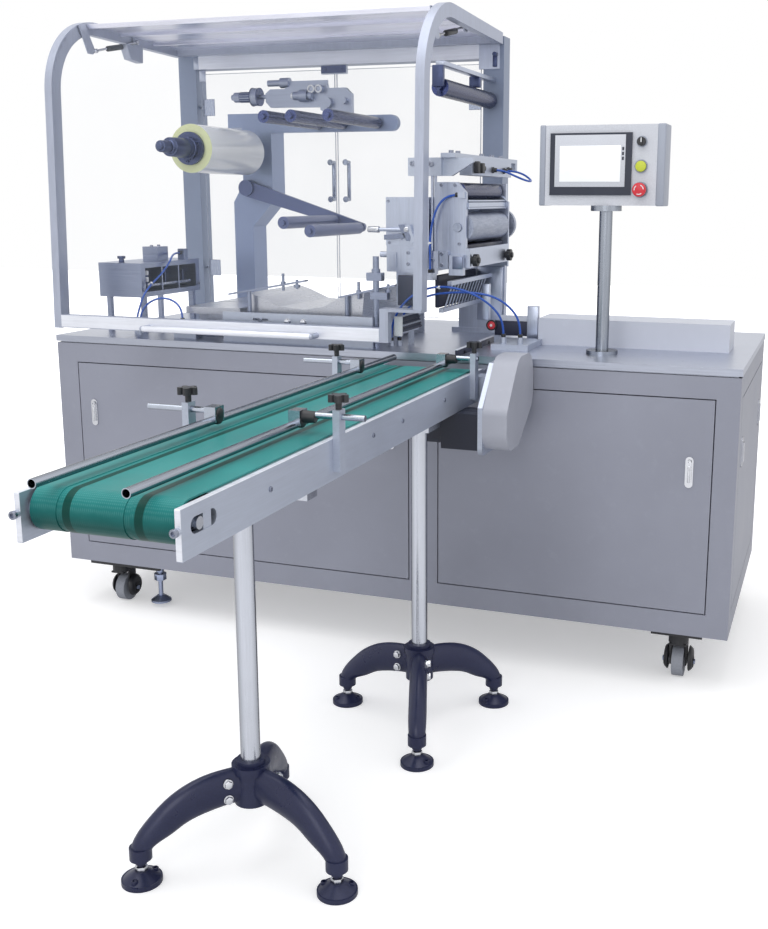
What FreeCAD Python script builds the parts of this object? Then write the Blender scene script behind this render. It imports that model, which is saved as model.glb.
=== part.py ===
import FreeCAD, Part
import math
import os
import re
import Sketcher

# Overwrapping machine: cabinet with a guarded folding bed, film reel and feed
# unit on the left module, and an infeed belt conveyor on two tripod stands.
# X runs along the cabinet front, Y from the operator to the back, Z up from the floor.

doc = FreeCAD.newDocument("OverwrappingMachine")
sheet = doc.addObject("Spreadsheet::Sheet", "Sizes")

sizes = {
    "cabinetLength": 2000,
    "cabinetDepth": 800,
    "cabinetFloor": 150,
    "tableHeight": 850,
    "tablePlate": 18,
    "sheetGauge": 2,
    "panelLow": 211,
    "panelHigh": 772,
    "panelDepth": 20,
    "panelGap": 3,
    "leftPanelStart": 68,
    "leftPanelEnd": 1131,
    "rightPanelStart": 1213,
    "rightPanelEnd": 1942,
    "endPanelFront": 60,
    "endPanelBack": 740,
    "frameTube": 40,
    "beltHeight": 825,
    "beltThickness": 3,
    "beltWidth": 258,
    "conveyorMiddle": 1204,
    "conveyorWidth": 288,
    "conveyorNear": -1463,
    "conveyorFar": -29,
    "plateHeight": 78,
    "plateTop": 821,
    "plateThickness": 10,
    "drumRadius": 33,
    "railRadius": 8,
    "railHeight": 843,
    "railNear": -1480,
    "leftRailMiddle": 1108,
    "rightRailMiddle": 1271,
    "nearStand": -1041,
    "farStand": -398,
    "nearStandMiddle": 1206,
    "farStandMiddle": 1310,
    "poleRadius": 19,
    "hubTop": 201,
    "legReach": 214,
    "moduleLength": 1170,
    "postWidth": 67,
    "postFront": 733,
    "postTop": 1750,
    "beamHeight": 65,
    "hoodFoot": 872,
    "hoodTop": 1778,
    "hoodBar": 25,
    "hoodDepth": 40,
    "hoodRadius": 225,
    "hoodSheet": 4,
    "rollMiddle": 365,
    "rollHeight": 1397,
    "rollRadius": 71,
    "rollFront": 200,
    "rollLength": 320,
    "filmPlane": 600,
    "idlerRadius": 18,
    "idlerHeight": 1490,
    "pivotMiddle": 336,
    "pivotHeight": 1286,
    "feedMiddle": 1222,
    "feedHeight": 1178,
    "feedRadius": 40,
    "feedFront": 135,
    "feedBack": 500,
    "postMiddle": 1621,
    "postDepth": 161,
    "boxLow": 1238,
    "boxHigh": 1440,
}
for row, (word, value) in enumerate(sizes.items(), 1):
    sheet.set(f"A{row}", word)
    sheet.set(f"B{row}", str(value))
    sheet.setAlias(f"B{row}", word)
doc.recompute()

V = FreeCAD.Vector
xAxis = V(1, 0, 0)
yAxis = V(0, 1, 0)
zAxis = V(0, 0, 1)
middleY = "(railNear + cabinetDepth + 2)/2"
nodes = {}


def formula(text):
    def expand(match):
        word = match.group(0)
        return "Sizes." + word if word in sizes else word
    return re.sub(r"[A-Za-z_]\w*", expand, str(text))


def bind(item, prop, text):
    item.setExpression(prop, formula(text))


def measure(texts):
    for i, text in enumerate(texts, 1):
        sheet.set(f"D{i}", "=" + str(text))
    sheet.recompute()
    found = []
    for i in range(1, len(texts) + 1):
        found.append(float(sheet.get(f"D{i}")))
        sheet.set(f"D{i}", "")
    return found


def locate(item, x, y, z):
    bind(item, "Placement.Base.x", x)
    bind(item, "Placement.Base.y", y)
    bind(item, "Placement.Base.z", z)


def block(x0, x1, y0, y1, z0, z1):
    item = doc.addObject("Part::Box", "Block")
    bind(item, "Length", f"({x1})-({x0})")
    bind(item, "Width", f"({y1})-({y0})")
    bind(item, "Height", f"({z1})-({z0})")
    locate(item, x0, y0, z0)
    return item


def rod(axis, start, end, u, v, radius):
    item = doc.addObject("Part::Cylinder", "Rod")
    bind(item, "Radius", radius)
    bind(item, "Height", f"({end})-({start})")
    if axis == "x":
        item.Placement = FreeCAD.Placement(V(), FreeCAD.Rotation(yAxis, 90))
        locate(item, start, u, v)
    elif axis == "y":
        item.Placement = FreeCAD.Placement(V(), FreeCAD.Rotation(xAxis, -90))
        locate(item, u, start, v)
    else:
        locate(item, u, v, start)
    return item


def cone(x, y, start, end, low, high):
    item = doc.addObject("Part::Cone", "Cone")
    bind(item, "Radius1", low)
    bind(item, "Radius2", high)
    bind(item, "Height", f"({end})-({start})")
    locate(item, x, y, start)
    return item


def ball(x, y, z, radius):
    item = doc.addObject("Part::Sphere", "Ball")
    bind(item, "Radius", radius)
    locate(item, x, y, z)
    return item


def strut(start, end, radius):
    # a round bar between two points
    a = V(*start)
    b = V(*end)
    item = doc.addObject("Part::Cylinder", "Strut")
    bind(item, "Radius", radius)
    item.Height = (b - a).Length
    item.Placement = FreeCAD.Placement(a, FreeCAD.Rotation(zAxis, b - a))
    return item


def fuse(*items):
    item = doc.addObject("Part::MultiFuse", "Joined")
    item.Shapes = list(items)
    return item


def cut(base, *tools):
    item = doc.addObject("Part::Cut", "Cut")
    item.Base = base
    item.Tool = tools[0] if len(tools) == 1 else group(*tools)
    return item


def group(*items):
    item = doc.addObject("Part::Compound", "Group")
    item.Links = list(items)
    return item


def node(label, item):
    # every sub-part carries its own Placement, from machine corner to row frame
    if item.TypeId in ("Part::Box", "Part::Cylinder", "PartDesign::Body"):
        item = group(item)
    item.Label = label
    locate(item, "-cabinetLength/2", "-" + middleY, "0")
    nodes[label] = item


def outline(body, plane, points):
    flat = []
    for a, b in points:
        flat += [a, b]
    numbers = measure(flat)
    face = [f for f in body.Origin.OriginFeatures if f.Role == plane][0]
    sketch = body.newObject("Sketcher::SketchObject", "Outline")
    sketch.AttachmentSupport = [(face, "")]
    sketch.MapMode = "FlatFace"
    spots = [V(numbers[2 * i], numbers[2 * i + 1], 0) for i in range(len(points))]
    count = len(points)
    for i in range(count):
        sketch.addGeometry(Part.LineSegment(spots[i], spots[(i + 1) % count]))
    for i in range(count):
        sketch.addConstraint(Sketcher.Constraint("Coincident", i, 2, (i + 1) % count, 1))
    for i in range(count):
        for kind, text, number in (
            ("DistanceX", points[i][0], spots[i].x),
            ("DistanceY", points[i][1], spots[i].y),
        ):
            at = sketch.addConstraint(Sketcher.Constraint(kind, -1, 1, i, 1, number))
            sketch.setExpression(f"Constraints[{at}]", formula(text))
    return sketch, spots


def profile(plane, start, length, points, rounds=()):
    # a padded outline, rounds is a list of (corner number, radius)
    body = doc.addObject("PartDesign::Body", "Profile")
    sketch, spots = outline(body, plane, points)
    pad = body.newObject("PartDesign::Pad", "Pad")
    pad.Profile = sketch
    bind(pad, "Length", length)
    doc.recompute()
    last = pad
    for corner, radius in rounds:
        spot = spots[corner]
        names = []
        for i, edge in enumerate(last.Shape.Edges, 1):
            ends = [v.Point for v in edge.Vertexes]
            if len(ends) != 2:
                continue
            if plane == "YZ_Plane":
                flat = [V(p.y, p.z, 0) for p in ends]
            elif plane == "XZ_Plane":
                flat = [V(p.x, p.z, 0) for p in ends]
            else:
                flat = [V(p.x, p.y, 0) for p in ends]
            if all(p.distanceToPoint(spot) < 0.01 for p in flat):
                names.append(f"Edge{i}")
        fillet = body.newObject("PartDesign::Fillet", "Round")
        fillet.Base = (last, names)
        bind(fillet, "Radius", radius)
        doc.recompute()
        last = fillet
    if plane == "YZ_Plane":
        locate(body, start, "0", "0")
    elif plane == "XZ_Plane":
        locate(body, "0", f"({start})+({length})", "0")
    else:
        locate(body, "0", "0", start)
    return body


# cabinet

def framedOpening(x0, x1):
    # turned-in edge and stop lip round a panel opening of the front sheet
    edge = block(f"{x0}-sheetGauge", f"{x1}+sheetGauge", "0", "panelDepth+sheetGauge",
                 "panelLow-sheetGauge", "panelHigh+sheetGauge")
    clear = block(x0, x1, "-5", "panelDepth", "panelLow", "panelHigh")
    lip = block(f"{x0}+12", f"{x1}-12", "0", "panelDepth+20", "panelLow+12", "panelHigh-12")
    return edge, clear, lip


def cabinetFront():
    plate = block("0", "cabinetLength", "0", "sheetGauge", "cabinetFloor", "tableHeight-tablePlate-4")
    left = framedOpening("leftPanelStart", "leftPanelEnd")
    right = framedOpening("rightPanelStart", "rightPanelEnd")
    whole = fuse(plate, left[0], right[0])
    return cut(whole, fuse(left[1], left[2]), fuse(right[1], right[2]))


def endFrame(outer, inner, stop, lipStart, lipEnd):
    plate = block(outer[0], outer[1], "sheetGauge", "cabinetDepth-sheetGauge",
                  "cabinetFloor", "tableHeight-tablePlate-4")
    edge = block(inner[0], inner[1], "endPanelFront-sheetGauge", "endPanelBack+sheetGauge",
                 "panelLow-sheetGauge", "panelHigh+sheetGauge")
    clear = block(stop[0], stop[1], "endPanelFront", "endPanelBack", "panelLow", "panelHigh")
    lip = block(lipStart, lipEnd, "endPanelFront+12", "endPanelBack-12", "panelLow+12", "panelHigh-12")
    return cut(fuse(plate, edge), fuse(clear, lip))


def cabinetEnds():
    left = endFrame(("0", "sheetGauge"), ("0", "panelDepth+sheetGauge"), ("-5", "panelDepth"), "-5", "60")
    right = endFrame(
        ("cabinetLength-sheetGauge", "cabinetLength"),
        ("cabinetLength-panelDepth-sheetGauge", "cabinetLength"),
        ("cabinetLength-panelDepth", "cabinetLength+5"),
        "cabinetLength-60", "cabinetLength+5")
    return left, right


def cabinetShell():
    back = block("0", "cabinetLength", "cabinetDepth-sheetGauge", "cabinetDepth",
                 "cabinetFloor", "tableHeight-tablePlate-4")
    node("cabinet_shell", fuse(cabinetFront(), back, *cabinetEnds()))


def cabinetBase():
    tray = block("sheetGauge", "cabinetLength-sheetGauge", "sheetGauge", "cabinetDepth-sheetGauge",
                 "cabinetFloor", "cabinetFloor+3")
    low = "cabinetFloor+3"
    high = "cabinetFloor+3+frameTube"
    front = block("30", "cabinetLength-30", "28", "28+frameTube", low, high)
    back = block("30", "cabinetLength-30", "cabinetDepth-30-frameTube", "cabinetDepth-30", low, high)
    parts = [tray, front, back]
    for x in ("30", "1150", "cabinetLength-30-frameTube"):
        parts.append(block(x, f"{x}+frameTube", "28", "28+frameTube", high, "tableHeight-tablePlate-4"))
        parts.append(block(x, f"{x}+frameTube", "cabinetDepth-30-frameTube", "cabinetDepth-30",
                           high, "tableHeight-tablePlate-4"))
    node("cabinet_base", fuse(*parts))


def pan(x0, x1, y0, y1, z0, z1, hollow):
    return cut(block(x0, x1, y0, y1, z0, z1), block(*hollow))


def accessPanels():
    low = "panelLow+panelGap"
    high = "panelHigh-panelGap"
    fronts = []
    for x0, x1 in (
        ("leftPanelStart+panelGap", "leftPanelEnd-panelGap"),
        ("rightPanelStart+panelGap", "rightPanelEnd-panelGap"),
    ):
        hollow = (f"{x0}+sheetGauge", f"{x1}-sheetGauge", "sheetGauge", "panelDepth+5",
                  f"{low}+sheetGauge", f"{high}-sheetGauge")
        fronts.append(pan(x0, x1, "0", "panelDepth", low, high, hollow))
    node("front_access_panels", group(*fronts))
    y0 = "endPanelFront+panelGap"
    y1 = "endPanelBack-panelGap"
    inside = (f"{y0}+sheetGauge", f"{y1}-sheetGauge", f"{low}+sheetGauge", f"{high}-sheetGauge")
    left = pan("0", "panelDepth", y0, y1, low, high, ("sheetGauge", "panelDepth+5") + inside)
    right = pan("cabinetLength-panelDepth", "cabinetLength", y0, y1, low, high,
                ("cabinetLength-panelDepth-5", "cabinetLength-sheetGauge") + inside)
    node("end_access_panels", group(left, right))


def latchFront(x, z):
    plate = fuse(
        block(f"{x}-10", f"{x}+10", "-3", "0", f"{z}-30", f"{z}+30"),
        rod("y", "-3", "0", x, f"{z}+30", "10"),
        rod("y", "-3", "0", x, f"{z}-30", "10"))
    paddle = block(f"{x}-6", f"{x}+6", "-7", "-3", f"{z}-26", f"{z}+26")
    return fuse(plate, paddle)


def latchEnd(x0, x1, x2, x3, y, z):
    plate = fuse(
        block(x0, x1, f"{y}-10", f"{y}+10", f"{z}-30", f"{z}+30"),
        rod("x", x0, x1, y, f"{z}+30", "10"),
        rod("x", x0, x1, y, f"{z}-30", "10"))
    paddle = block(x2, x3, f"{y}-6", f"{y}+6", f"{z}-26", f"{z}+26")
    return fuse(plate, paddle)


def panelLatches():
    height = "(panelLow+panelHigh)/2+130"
    parts = [
        latchFront("leftPanelStart+52", height),
        latchFront("leftPanelEnd-52", height),
        latchFront("rightPanelEnd-58", "(panelLow+panelHigh)/2+92"),
    ]
    for y in ("endPanelFront+50", "endPanelBack-50"):
        parts.append(latchEnd("-3", "0", "-7", "-3", y, height))
        parts.append(latchEnd("cabinetLength", "cabinetLength+3", "cabinetLength+3", "cabinetLength+7",
                              y, height))
    node("panel_latches", group(*parts))


def tableTop():
    plate = block("-2", "cabinetLength+2", "-2", "cabinetDepth+2", "tableHeight-tablePlate", "tableHeight")
    spacer = block("8", "cabinetLength-8", "8", "cabinetDepth-8",
                   "tableHeight-tablePlate-4", "tableHeight-tablePlate")
    node("table_top", fuse(plate, spacer))


casters = (("131", "70"), ("131", "cabinetDepth-70"),
           ("cabinetLength-131", "70"), ("cabinetLength-131", "cabinetDepth-70"))


def casterMounts():
    parts = []
    for i, (x, y) in enumerate(casters):
        if i < 2:
            plate = block("66", "300", f"{y}-50", f"{y}+60", "cabinetFloor-7", "cabinetFloor")
        else:
            plate = block(f"{x}-60", f"{x}+60", f"{y}-50", f"{y}+50", "cabinetFloor-7", "cabinetFloor")
        race = rod("z", "104", "cabinetFloor-7", x, y, "26")
        crown = block(f"{x}-22", f"{x}+22", f"{y}-22", f"{y}+44", "99", "104")
        cheeks = []
        for side in ("-22", "18"):
            cheeks.append(block(f"{x}+{side}", f"{x}+{side}+4", f"{y}+8", f"{y}+44", "34", "99"))
        bore = rod("x", f"{x}-25", f"{x}+25", f"{y}+26", "42", "6.3")
        parts.append(cut(fuse(plate, race, crown, *cheeks), bore))
    node("caster_mounts", group(*parts))


def casterWheels():
    parts = []
    for x, y in casters:
        tyre = rod("x", f"{x}-15", f"{x}+15", f"{y}+26", "42", "42")
        pin = rod("x", f"{x}-27", f"{x}+27", f"{y}+26", "42", "6")
        boss = rod("x", f"{x}-18", f"{x}+18", f"{y}+26", "42", "13")
        parts.append(fuse(tyre, boss, pin))
    node("caster_wheels", group(*parts))


def levellingFeet():
    parts = []
    for y in ("80", "cabinetDepth-60"):
        stem = rod("z", "28", "cabinetFloor-7", "266", y, "7")
        nut = rod("z", "112", "124", "266", y, "12")
        low = rod("z", "15", "21", "266", y, "31")
        top = cone("266", y, "21", "34", "31", "13")
        parts.append(fuse(stem, nut, low, top))
    node("levelling_feet", group(*parts))


# infeed conveyor

leftOuter = "(conveyorMiddle-conveyorWidth/2)"
rightOuter = "(conveyorMiddle+conveyorWidth/2)"
drumMiddle = "(beltHeight-beltThickness-drumRadius)"
nearDrum = "(conveyorNear+50)"
farDrum = "(conveyorFar-46)"


def conveyorPlates():
    parts = []
    for x0, x1 in (
        (leftOuter, f"{leftOuter}+plateThickness"),
        (f"{rightOuter}-plateThickness", rightOuter),
    ):
        plate = block(x0, x1, "conveyorNear", "conveyorFar", "plateTop-plateHeight", "plateTop")
        slot = fuse(
            block(f"{x0}-2", f"{x1}+2", f"{nearDrum}-12", f"{nearDrum}+34", f"{drumMiddle}-13", f"{drumMiddle}+13"),
            rod("x", f"{x0}-2", f"{x1}+2", f"{nearDrum}-12", drumMiddle, "13"),
            rod("x", f"{x0}-2", f"{x1}+2", f"{nearDrum}+34", drumMiddle, "13"))
        bore = rod("x", f"{x0}-2", f"{x1}+2", farDrum, drumMiddle, "10.3")
        parts.append(cut(plate, slot, bore))
    for x0, x1 in (
        (leftOuter, f"{leftOuter}+plateThickness"),
        (f"{rightOuter}-plateThickness", rightOuter),
    ):
        parts.append(block(x0, x1, "conveyorFar", "0", "panelHigh+6", "plateTop-4"))
    node("conveyor_side_plates", group(*parts, *tensionScrews()))


def conveyorBed():
    inner0 = f"{leftOuter}+plateThickness"
    inner1 = f"{rightOuter}-plateThickness"
    top = block(inner0, inner1, f"{nearDrum}+45", f"{farDrum}-45", "beltHeight-beltThickness-5",
                "beltHeight-beltThickness-0.3")
    crosses = []
    for y in ("conveyorNear+300", "nearStand", "farStand", "conveyorFar-250"):
        crosses.append(block(inner0, inner1, f"{y}-25", f"{y}+25",
                             "beltHeight-beltThickness-50", "beltHeight-beltThickness-5"))
    node("conveyor_bed", fuse(top, *crosses))


def stadium(x0, x1, radius):
    return fuse(
        block(x0, x1, nearDrum, farDrum, f"{drumMiddle}-({radius})", f"{drumMiddle}+({radius})"),
        rod("x", x0, x1, nearDrum, drumMiddle, radius),
        rod("x", x0, x1, farDrum, drumMiddle, radius))


def conveyorBelt():
    x0 = "conveyorMiddle-beltWidth/2"
    x1 = "conveyorMiddle+beltWidth/2"
    outer = stadium(x0, x1, "drumRadius+beltThickness")
    inner = stadium(f"{x0}-5", f"{x1}+5", "drumRadius")
    loop = cut(outer, inner)
    grooves = []
    for x in ("conveyorMiddle-76", "conveyorMiddle+43"):
        hoop = stadium(f"{x}-6", f"{x}+6", "drumRadius+beltThickness+2")
        core = stadium(f"{x}-8", f"{x}+8", "drumRadius+beltThickness-1.2")
        grooves.append(cut(hoop, core))
    node("conveyor_belt", cut(loop, *grooves))


def conveyorRollers():
    parts = []
    for y in (nearDrum, farDrum):
        drum = rod("x", "conveyorMiddle-beltWidth/2-1", "conveyorMiddle+beltWidth/2+1", y, drumMiddle,
                   "drumRadius-0.3")
        shaft = rod("x", leftOuter, rightOuter, y, drumMiddle, "10")
        parts.append(fuse(drum, shaft))
    node("conveyor_rollers", group(*parts))


def tensionScrews():
    # hexagon screws in the plate ends that pull the near drum
    parts = []
    for x in (f"{leftOuter}+plateThickness/2", f"{rightOuter}-plateThickness/2"):
        parts.append(rod("y", "conveyorNear-8", "conveyorNear", x, drumMiddle, "6"))
    for x0, x1 in ((f"{leftOuter}+1", f"{leftOuter}+plateThickness-1"),
                   (f"{rightOuter}-plateThickness+1", f"{rightOuter}-1")):
        parts.append(block(x0, x1, f"{nearDrum}+10.5", f"{nearDrum}+33", f"{drumMiddle}-13", f"{drumMiddle}+13"))
    return parts


def driveMotor():
    body = rod("x", f"{rightOuter}-125", f"{rightOuter}+57", "-196", "700", "43")
    gear = block(f"{rightOuter}-40", f"{rightOuter}+57", "-241", "-151", "652", "742")
    cap = rod("x", f"{rightOuter}-150", f"{rightOuter}-125", "-196", "700", "38")
    node("drive_motor", fuse(body, gear, cap))


def driveMount():
    x0 = f"{rightOuter}+57"
    x1 = f"{rightOuter}+69"
    plate = profile("YZ_Plane", x0, "12", [
        ("-250", "640"), ("-60", "640"), ("-20", "700"), ("-20", "858"), ("-160", "858"), ("-250", "760"),
    ], [(0, "20"), (2, "20")])
    spacer = block(rightOuter, x0, "-104", "-45", "748", "812")
    node("drive_mount", fuse(plate, spacer))


def driveGuard():
    # tapered oblong pressed cover over the chain drive
    x0 = f"{rightOuter}+69"
    cover = profile("YZ_Plane", x0, "62", [
        ("-252", "752"), ("-252", "652"), ("-145", "652"), ("-10", "742"), ("-10", "874"), ("-150", "874"),
    ], [(1, "50"), (2, "50"), (4, "62"), (3, "60"), (5, "66"), (0, "30")])
    node("drive_guard", cover)


def tripodLeg(x, y, angle):
    # curved tapering arm swept outward and down to the foot boss
    stations = (
        (20, 156, 20.5, 36),
        (60, 154, 21, 36),
        (108, 144, 21, 35),
        (150, 124, 21, 31),
        (184, 98, 21, 26),
        (205, 79, 20, 21.5),
        (214, 56, 17, 17.5),
    )
    rings = []
    turn = math.radians(angle)
    lean = (0, 8, 20, 36, 52, 72, 88)
    for (reach, height, wide, tall), tip in zip(stations, lean):
        ring = doc.addObject("Part::Ellipse", "Ring")
        ring.MajorRadius = tall
        ring.MinorRadius = wide
        out = V(math.cos(turn), math.sin(turn), 0)
        side = V(-math.sin(turn), math.cos(turn), 0)
        along = out * math.cos(math.radians(tip)) - zAxis * math.sin(math.radians(tip))
        tallway = side.cross(along) * -1
        turned = FreeCAD.Rotation(tallway, side, along, "ZXY")
        ring.Placement = FreeCAD.Placement(V(), turned)
        locate(ring, f"{x}+{out.x * reach}", f"{y}+{out.y * reach}", str(height))
        rings.append(ring)
    loft = doc.addObject("Part::Loft", "Arm")
    loft.Sections = rings
    loft.Solid = True
    loft.Ruled = False
    bossX = f"{x}+legReach*{math.cos(turn)}"
    bossY = f"{y}+legReach*{math.sin(turn)}"
    boss = rod("z", "48", "72", bossX, bossY, "21")
    return fuse(loft, boss)


stands = (
    ("nearStandMiddle", "nearStand", (223.8, 343.8, 103.8)),
    ("farStandMiddle", "farStand", (289, 169, 49)),
)


def tripods():
    parts = []
    for x, y, angles in stands:
        legs = [tripodLeg(x, y, a) for a in angles]
        hub = rod("z", "116", "hubTop-4", x, y, "33")
        collar = rod("z", "hubTop-20", "hubTop-5", x, y, "37")
        lip = rod("z", "hubTop-8", "hubTop+4", x, y, "27")
        bore = rod("z", "150", "hubTop+9", x, y, "poleRadius")
        parts.append(cut(fuse(hub, collar, lip, *legs), bore))
    node("tripod_bases", group(*parts))


def tripodFeet():
    parts = []
    for x, y, angles in stands:
        for a in angles:
            turn = math.radians(a)
            fx = f"{x}+legReach*{math.cos(turn)}"
            fy = f"{y}+legReach*{math.sin(turn)}"
            stem = rod("z", "12", "48", fx, fy, "6")
            nut = rod("z", "38", "48", fx, fy, "11")
            pad = rod("z", "0", "9", fx, fy, "38")
            dome = cone(fx, fy, "9", "24", "35", "13")
            parts.append(fuse(stem, nut, pad, dome))
    node("tripod_feet", group(*parts))


def standPoles():
    parts = []
    for x, y in (("nearStandMiddle", "nearStand"), ("farStandMiddle", "farStand")):
        pole = rod("z", "150", "plateTop-plateHeight-12", x, y, "poleRadius")
        saddle = block(f"{x}-45" if x == "nearStandMiddle" else f"{rightOuter}-100",
                       f"{x}+45" if x == "nearStandMiddle" else rightOuter,
                       f"{y}-40", f"{y}+40", "plateTop-plateHeight-12", "plateTop-plateHeight")
        beam = block(leftOuter, rightOuter, f"{y}-20", f"{y}+20",
                     "plateTop-plateHeight-12", "plateTop-plateHeight")
        parts.append(fuse(pole, saddle, beam))
    node("stand_poles", group(*parts))


clampSpots = (("left", "conveyorNear+500"), ("left", "conveyorFar-260"),
              ("right", "conveyorNear+525"), ("right", "conveyorFar-95"))


def railClamps():
    # upright bars on the side plates with a split head for the cross rods
    parts = []
    for side, y in clampSpots:
        if side == "left":
            x0, x1 = f"{leftOuter}-14", leftOuter
        else:
            x0, x1 = rightOuter, f"{rightOuter}+14"
        bar = block(x0, x1, f"{y}-13", f"{y}+13", "plateTop-62", "railHeight+32")
        bore = rod("x", f"{x0}-3", f"{x1}+3", y, "railHeight+18", "6.3")
        parts.append(cut(bar, bore))
    node("rail_clamps", group(*parts))


def clampKnobs():
    parts = []
    for side, y in clampSpots:
        x = f"{leftOuter}-7" if side == "left" else f"{rightOuter}+7"
        stem = rod("z", "railHeight+32", "railHeight+46", x, y, "6")
        head = rod("z", "railHeight+46", "railHeight+60", x, y, "12")
        lobes = []
        for i in range(5):
            a = math.radians(72 * i)
            lobes.append(rod("z", "railHeight+46", "railHeight+60", f"{x}+{14 * math.cos(a)}",
                             f"{y}+{14 * math.sin(a)}", "6"))
        parts.append(fuse(stem, head, *lobes))
    node("clamp_knobs", group(*parts))


def guideRail(label, rail, side, far):
    tube = cut(rod("y", "railNear", far, rail, "railHeight", "railRadius"),
               rod("y", "railNear-5", "railNear+60", rail, "railHeight", "railRadius-1.5"))
    parts = [tube]
    for where, y in clampSpots:
        if where != side:
            continue
        if side == "left":
            cross = rod("x", f"{leftOuter}-95", f"{rail}+4", y, "railHeight+18", "6")
        else:
            reach = "60" if "Near" in y else "18"
            cross = rod("x", f"{rail}-4", f"{rightOuter}+{reach}", y, "railHeight+18", "6")
        grip = block(f"{rail}-12", f"{rail}+12", f"{y}-16", f"{y}+16", "railHeight-2", "railHeight+27")
        parts += [cross, grip]
    node(label, fuse(*parts))


# guard over the left module

leftPost = ("0", "postWidth")
rightPost = ("moduleLength-postWidth", "moduleLength")


def rearFrame():
    parts = []
    for x0, x1 in (leftPost, rightPost):
        parts.append(block(x0, x1, "postFront", "cabinetDepth-2", "tableHeight", "postTop"))
    beam = block("postWidth", "moduleLength-postWidth", "postFront", "cabinetDepth-2",
                 "postTop-beamHeight", "postTop")
    node("rear_frame", fuse(beam, *parts))


hingeY = "(postFront-4)"
hingeZ = "(postTop+6)"


def hoodHinges():
    # fixed halves of the hood hinges on the beam
    parts = []
    for x in ("200", "moduleLength-200"):
        leaf = block(f"{x}-40", f"{x}+40", "postFront+8", "postFront+40", "postTop", "postTop+5")
        arm = block(f"{x}-12", f"{x}+12", "postFront-4", "postFront+12", "postTop+1", "postTop+11")
        knuckle = rod("x", f"{x}-12.7", f"{x}+12.7", hingeY, hingeZ, "6")
        parts.append(fuse(leaf, arm, knuckle))
    return parts


def hoodBar(x0, foot, lean):
    return profile("YZ_Plane", x0, "hoodBar", [
        (lean, foot), (f"{lean}+hoodDepth", foot), ("hoodDepth+24", "hoodTop-hoodDepth"),
        (f"{hingeY}-10", "hoodTop-hoodDepth-14"), (f"{hingeY}-10", "hoodTop-20"), ("24", "hoodTop"),
    ], [(5, "hoodRadius"), (2, "hoodRadius-hoodDepth")])


def hoodFrame():
    left = hoodBar("0", "hoodFoot", "-8")
    right = hoodBar("moduleLength-hoodBar", "957", "-5")
    bottom = block("hoodBar", "1075", "-8", "17", "hoodFoot+2", "hoodFoot+40")
    rise = block("1050", "1075", "-8", "17", "hoodFoot+40", "957")
    shelf = block("1050", "moduleLength", "-8", "35", "957", "965")
    handle = [
        rod("x", "330", "864", "-44", "886", "8"),
        rod("y", "-44", "-8", "330", "886", "8"),
        rod("y", "-44", "-8", "864", "886", "8"),
        ball("330", "-44", "886", "8"),
        ball("864", "-44", "886", "8"),
    ]
    rear = block("hoodBar", "moduleLength-hoodBar", f"{hingeY}-40", f"{hingeY}-10",
                 "hoodTop-hoodDepth-12", "hoodTop-30")
    leaves = []
    for x in ("200", "moduleLength-200"):
        for a, b in ((f"{x}-34", f"{x}-13"), (f"{x}+13", f"{x}+34")):
            leaves.append(rod("x", a, b, hingeY, hingeZ, "6"))
            leaves.append(block(a, b, f"{hingeY}-14", hingeY, f"{hingeZ}-16", f"{hingeZ}+4"))
    node("hood_frame", fuse(left, right, bottom, rise, shelf, rear, *handle, *leaves))


def hoodSheet():
    skin = profile("YZ_Plane", "hoodBar", "moduleLength-2*hoodBar", [
        ("-1", "hoodFoot+40"), ("3", "hoodFoot+40"), ("hoodSheet+29", "hoodTop-hoodSheet-6"),
        (f"{hingeY}-16", "hoodTop-hoodSheet-25"), (f"{hingeY}-16", "hoodTop-25"), ("29", "hoodTop-6"),
    ], [(5, "hoodRadius-6"), (2, "hoodRadius-6-hoodSheet")])
    notch = block("1050", "moduleLength", "-20", "40", "hoodFoot", "965")
    rear = block("0", "moduleLength", f"{hingeY}-40", f"{hingeY}", "1600", "hoodTop-30")
    node("hood_sheet", cut(skin, fuse(notch, rear)))


doorLow = "tableHeight+12"
doorHigh = "postTop-beamHeight-14"
doorMiddle = "moduleLength/2"


def rearDoor(label, x0, x1, handleX, hingeX, hingeSide):
    y0 = "postFront+17"
    y1 = "postFront+23"
    panel = block(x0, x1, y0, y1, doorLow, doorHigh)
    grip = []
    for z in ("1250", "1372"):
        grip.append(rod("y", y1, f"{y1}+30", handleX, z, "6"))
        grip.append(ball(handleX, f"{y1}+30", z, "6"))
    grip.append(rod("z", "1250", "1372", handleX, f"{y1}+30", "6"))
    leaves = []
    for z in ("1010", "1560"):
        if hingeSide == "left":
            leaves.append(block(f"{hingeX}+6", f"{x0}+40", y1, f"{y1}+3", f"{z}-28", f"{z}+28"))
        else:
            leaves.append(block(f"{x1}-40", f"{hingeX}-6", y1, f"{y1}+3", f"{z}-28", f"{z}+28"))
        leaves.append(rod("z", f"{z}-28", f"{z}-5", hingeX, f"{y1}+3", "5"))
        leaves.append(rod("z", f"{z}+5", f"{z}+28", hingeX, f"{y1}+3", "5"))
        if hingeSide == "left":
            leaves.append(block(hingeX, f"{hingeX}+6", y1, f"{y1}+3", f"{z}-28", f"{z}-5"))
            leaves.append(block(hingeX, f"{hingeX}+6", y1, f"{y1}+3", f"{z}+5", f"{z}+28"))
        else:
            leaves.append(block(f"{hingeX}-6", hingeX, y1, f"{y1}+3", f"{z}-28", f"{z}-5"))
            leaves.append(block(f"{hingeX}-6", hingeX, y1, f"{y1}+3", f"{z}+5", f"{z}+28"))
    node(label, fuse(panel, *grip, *leaves))


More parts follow.
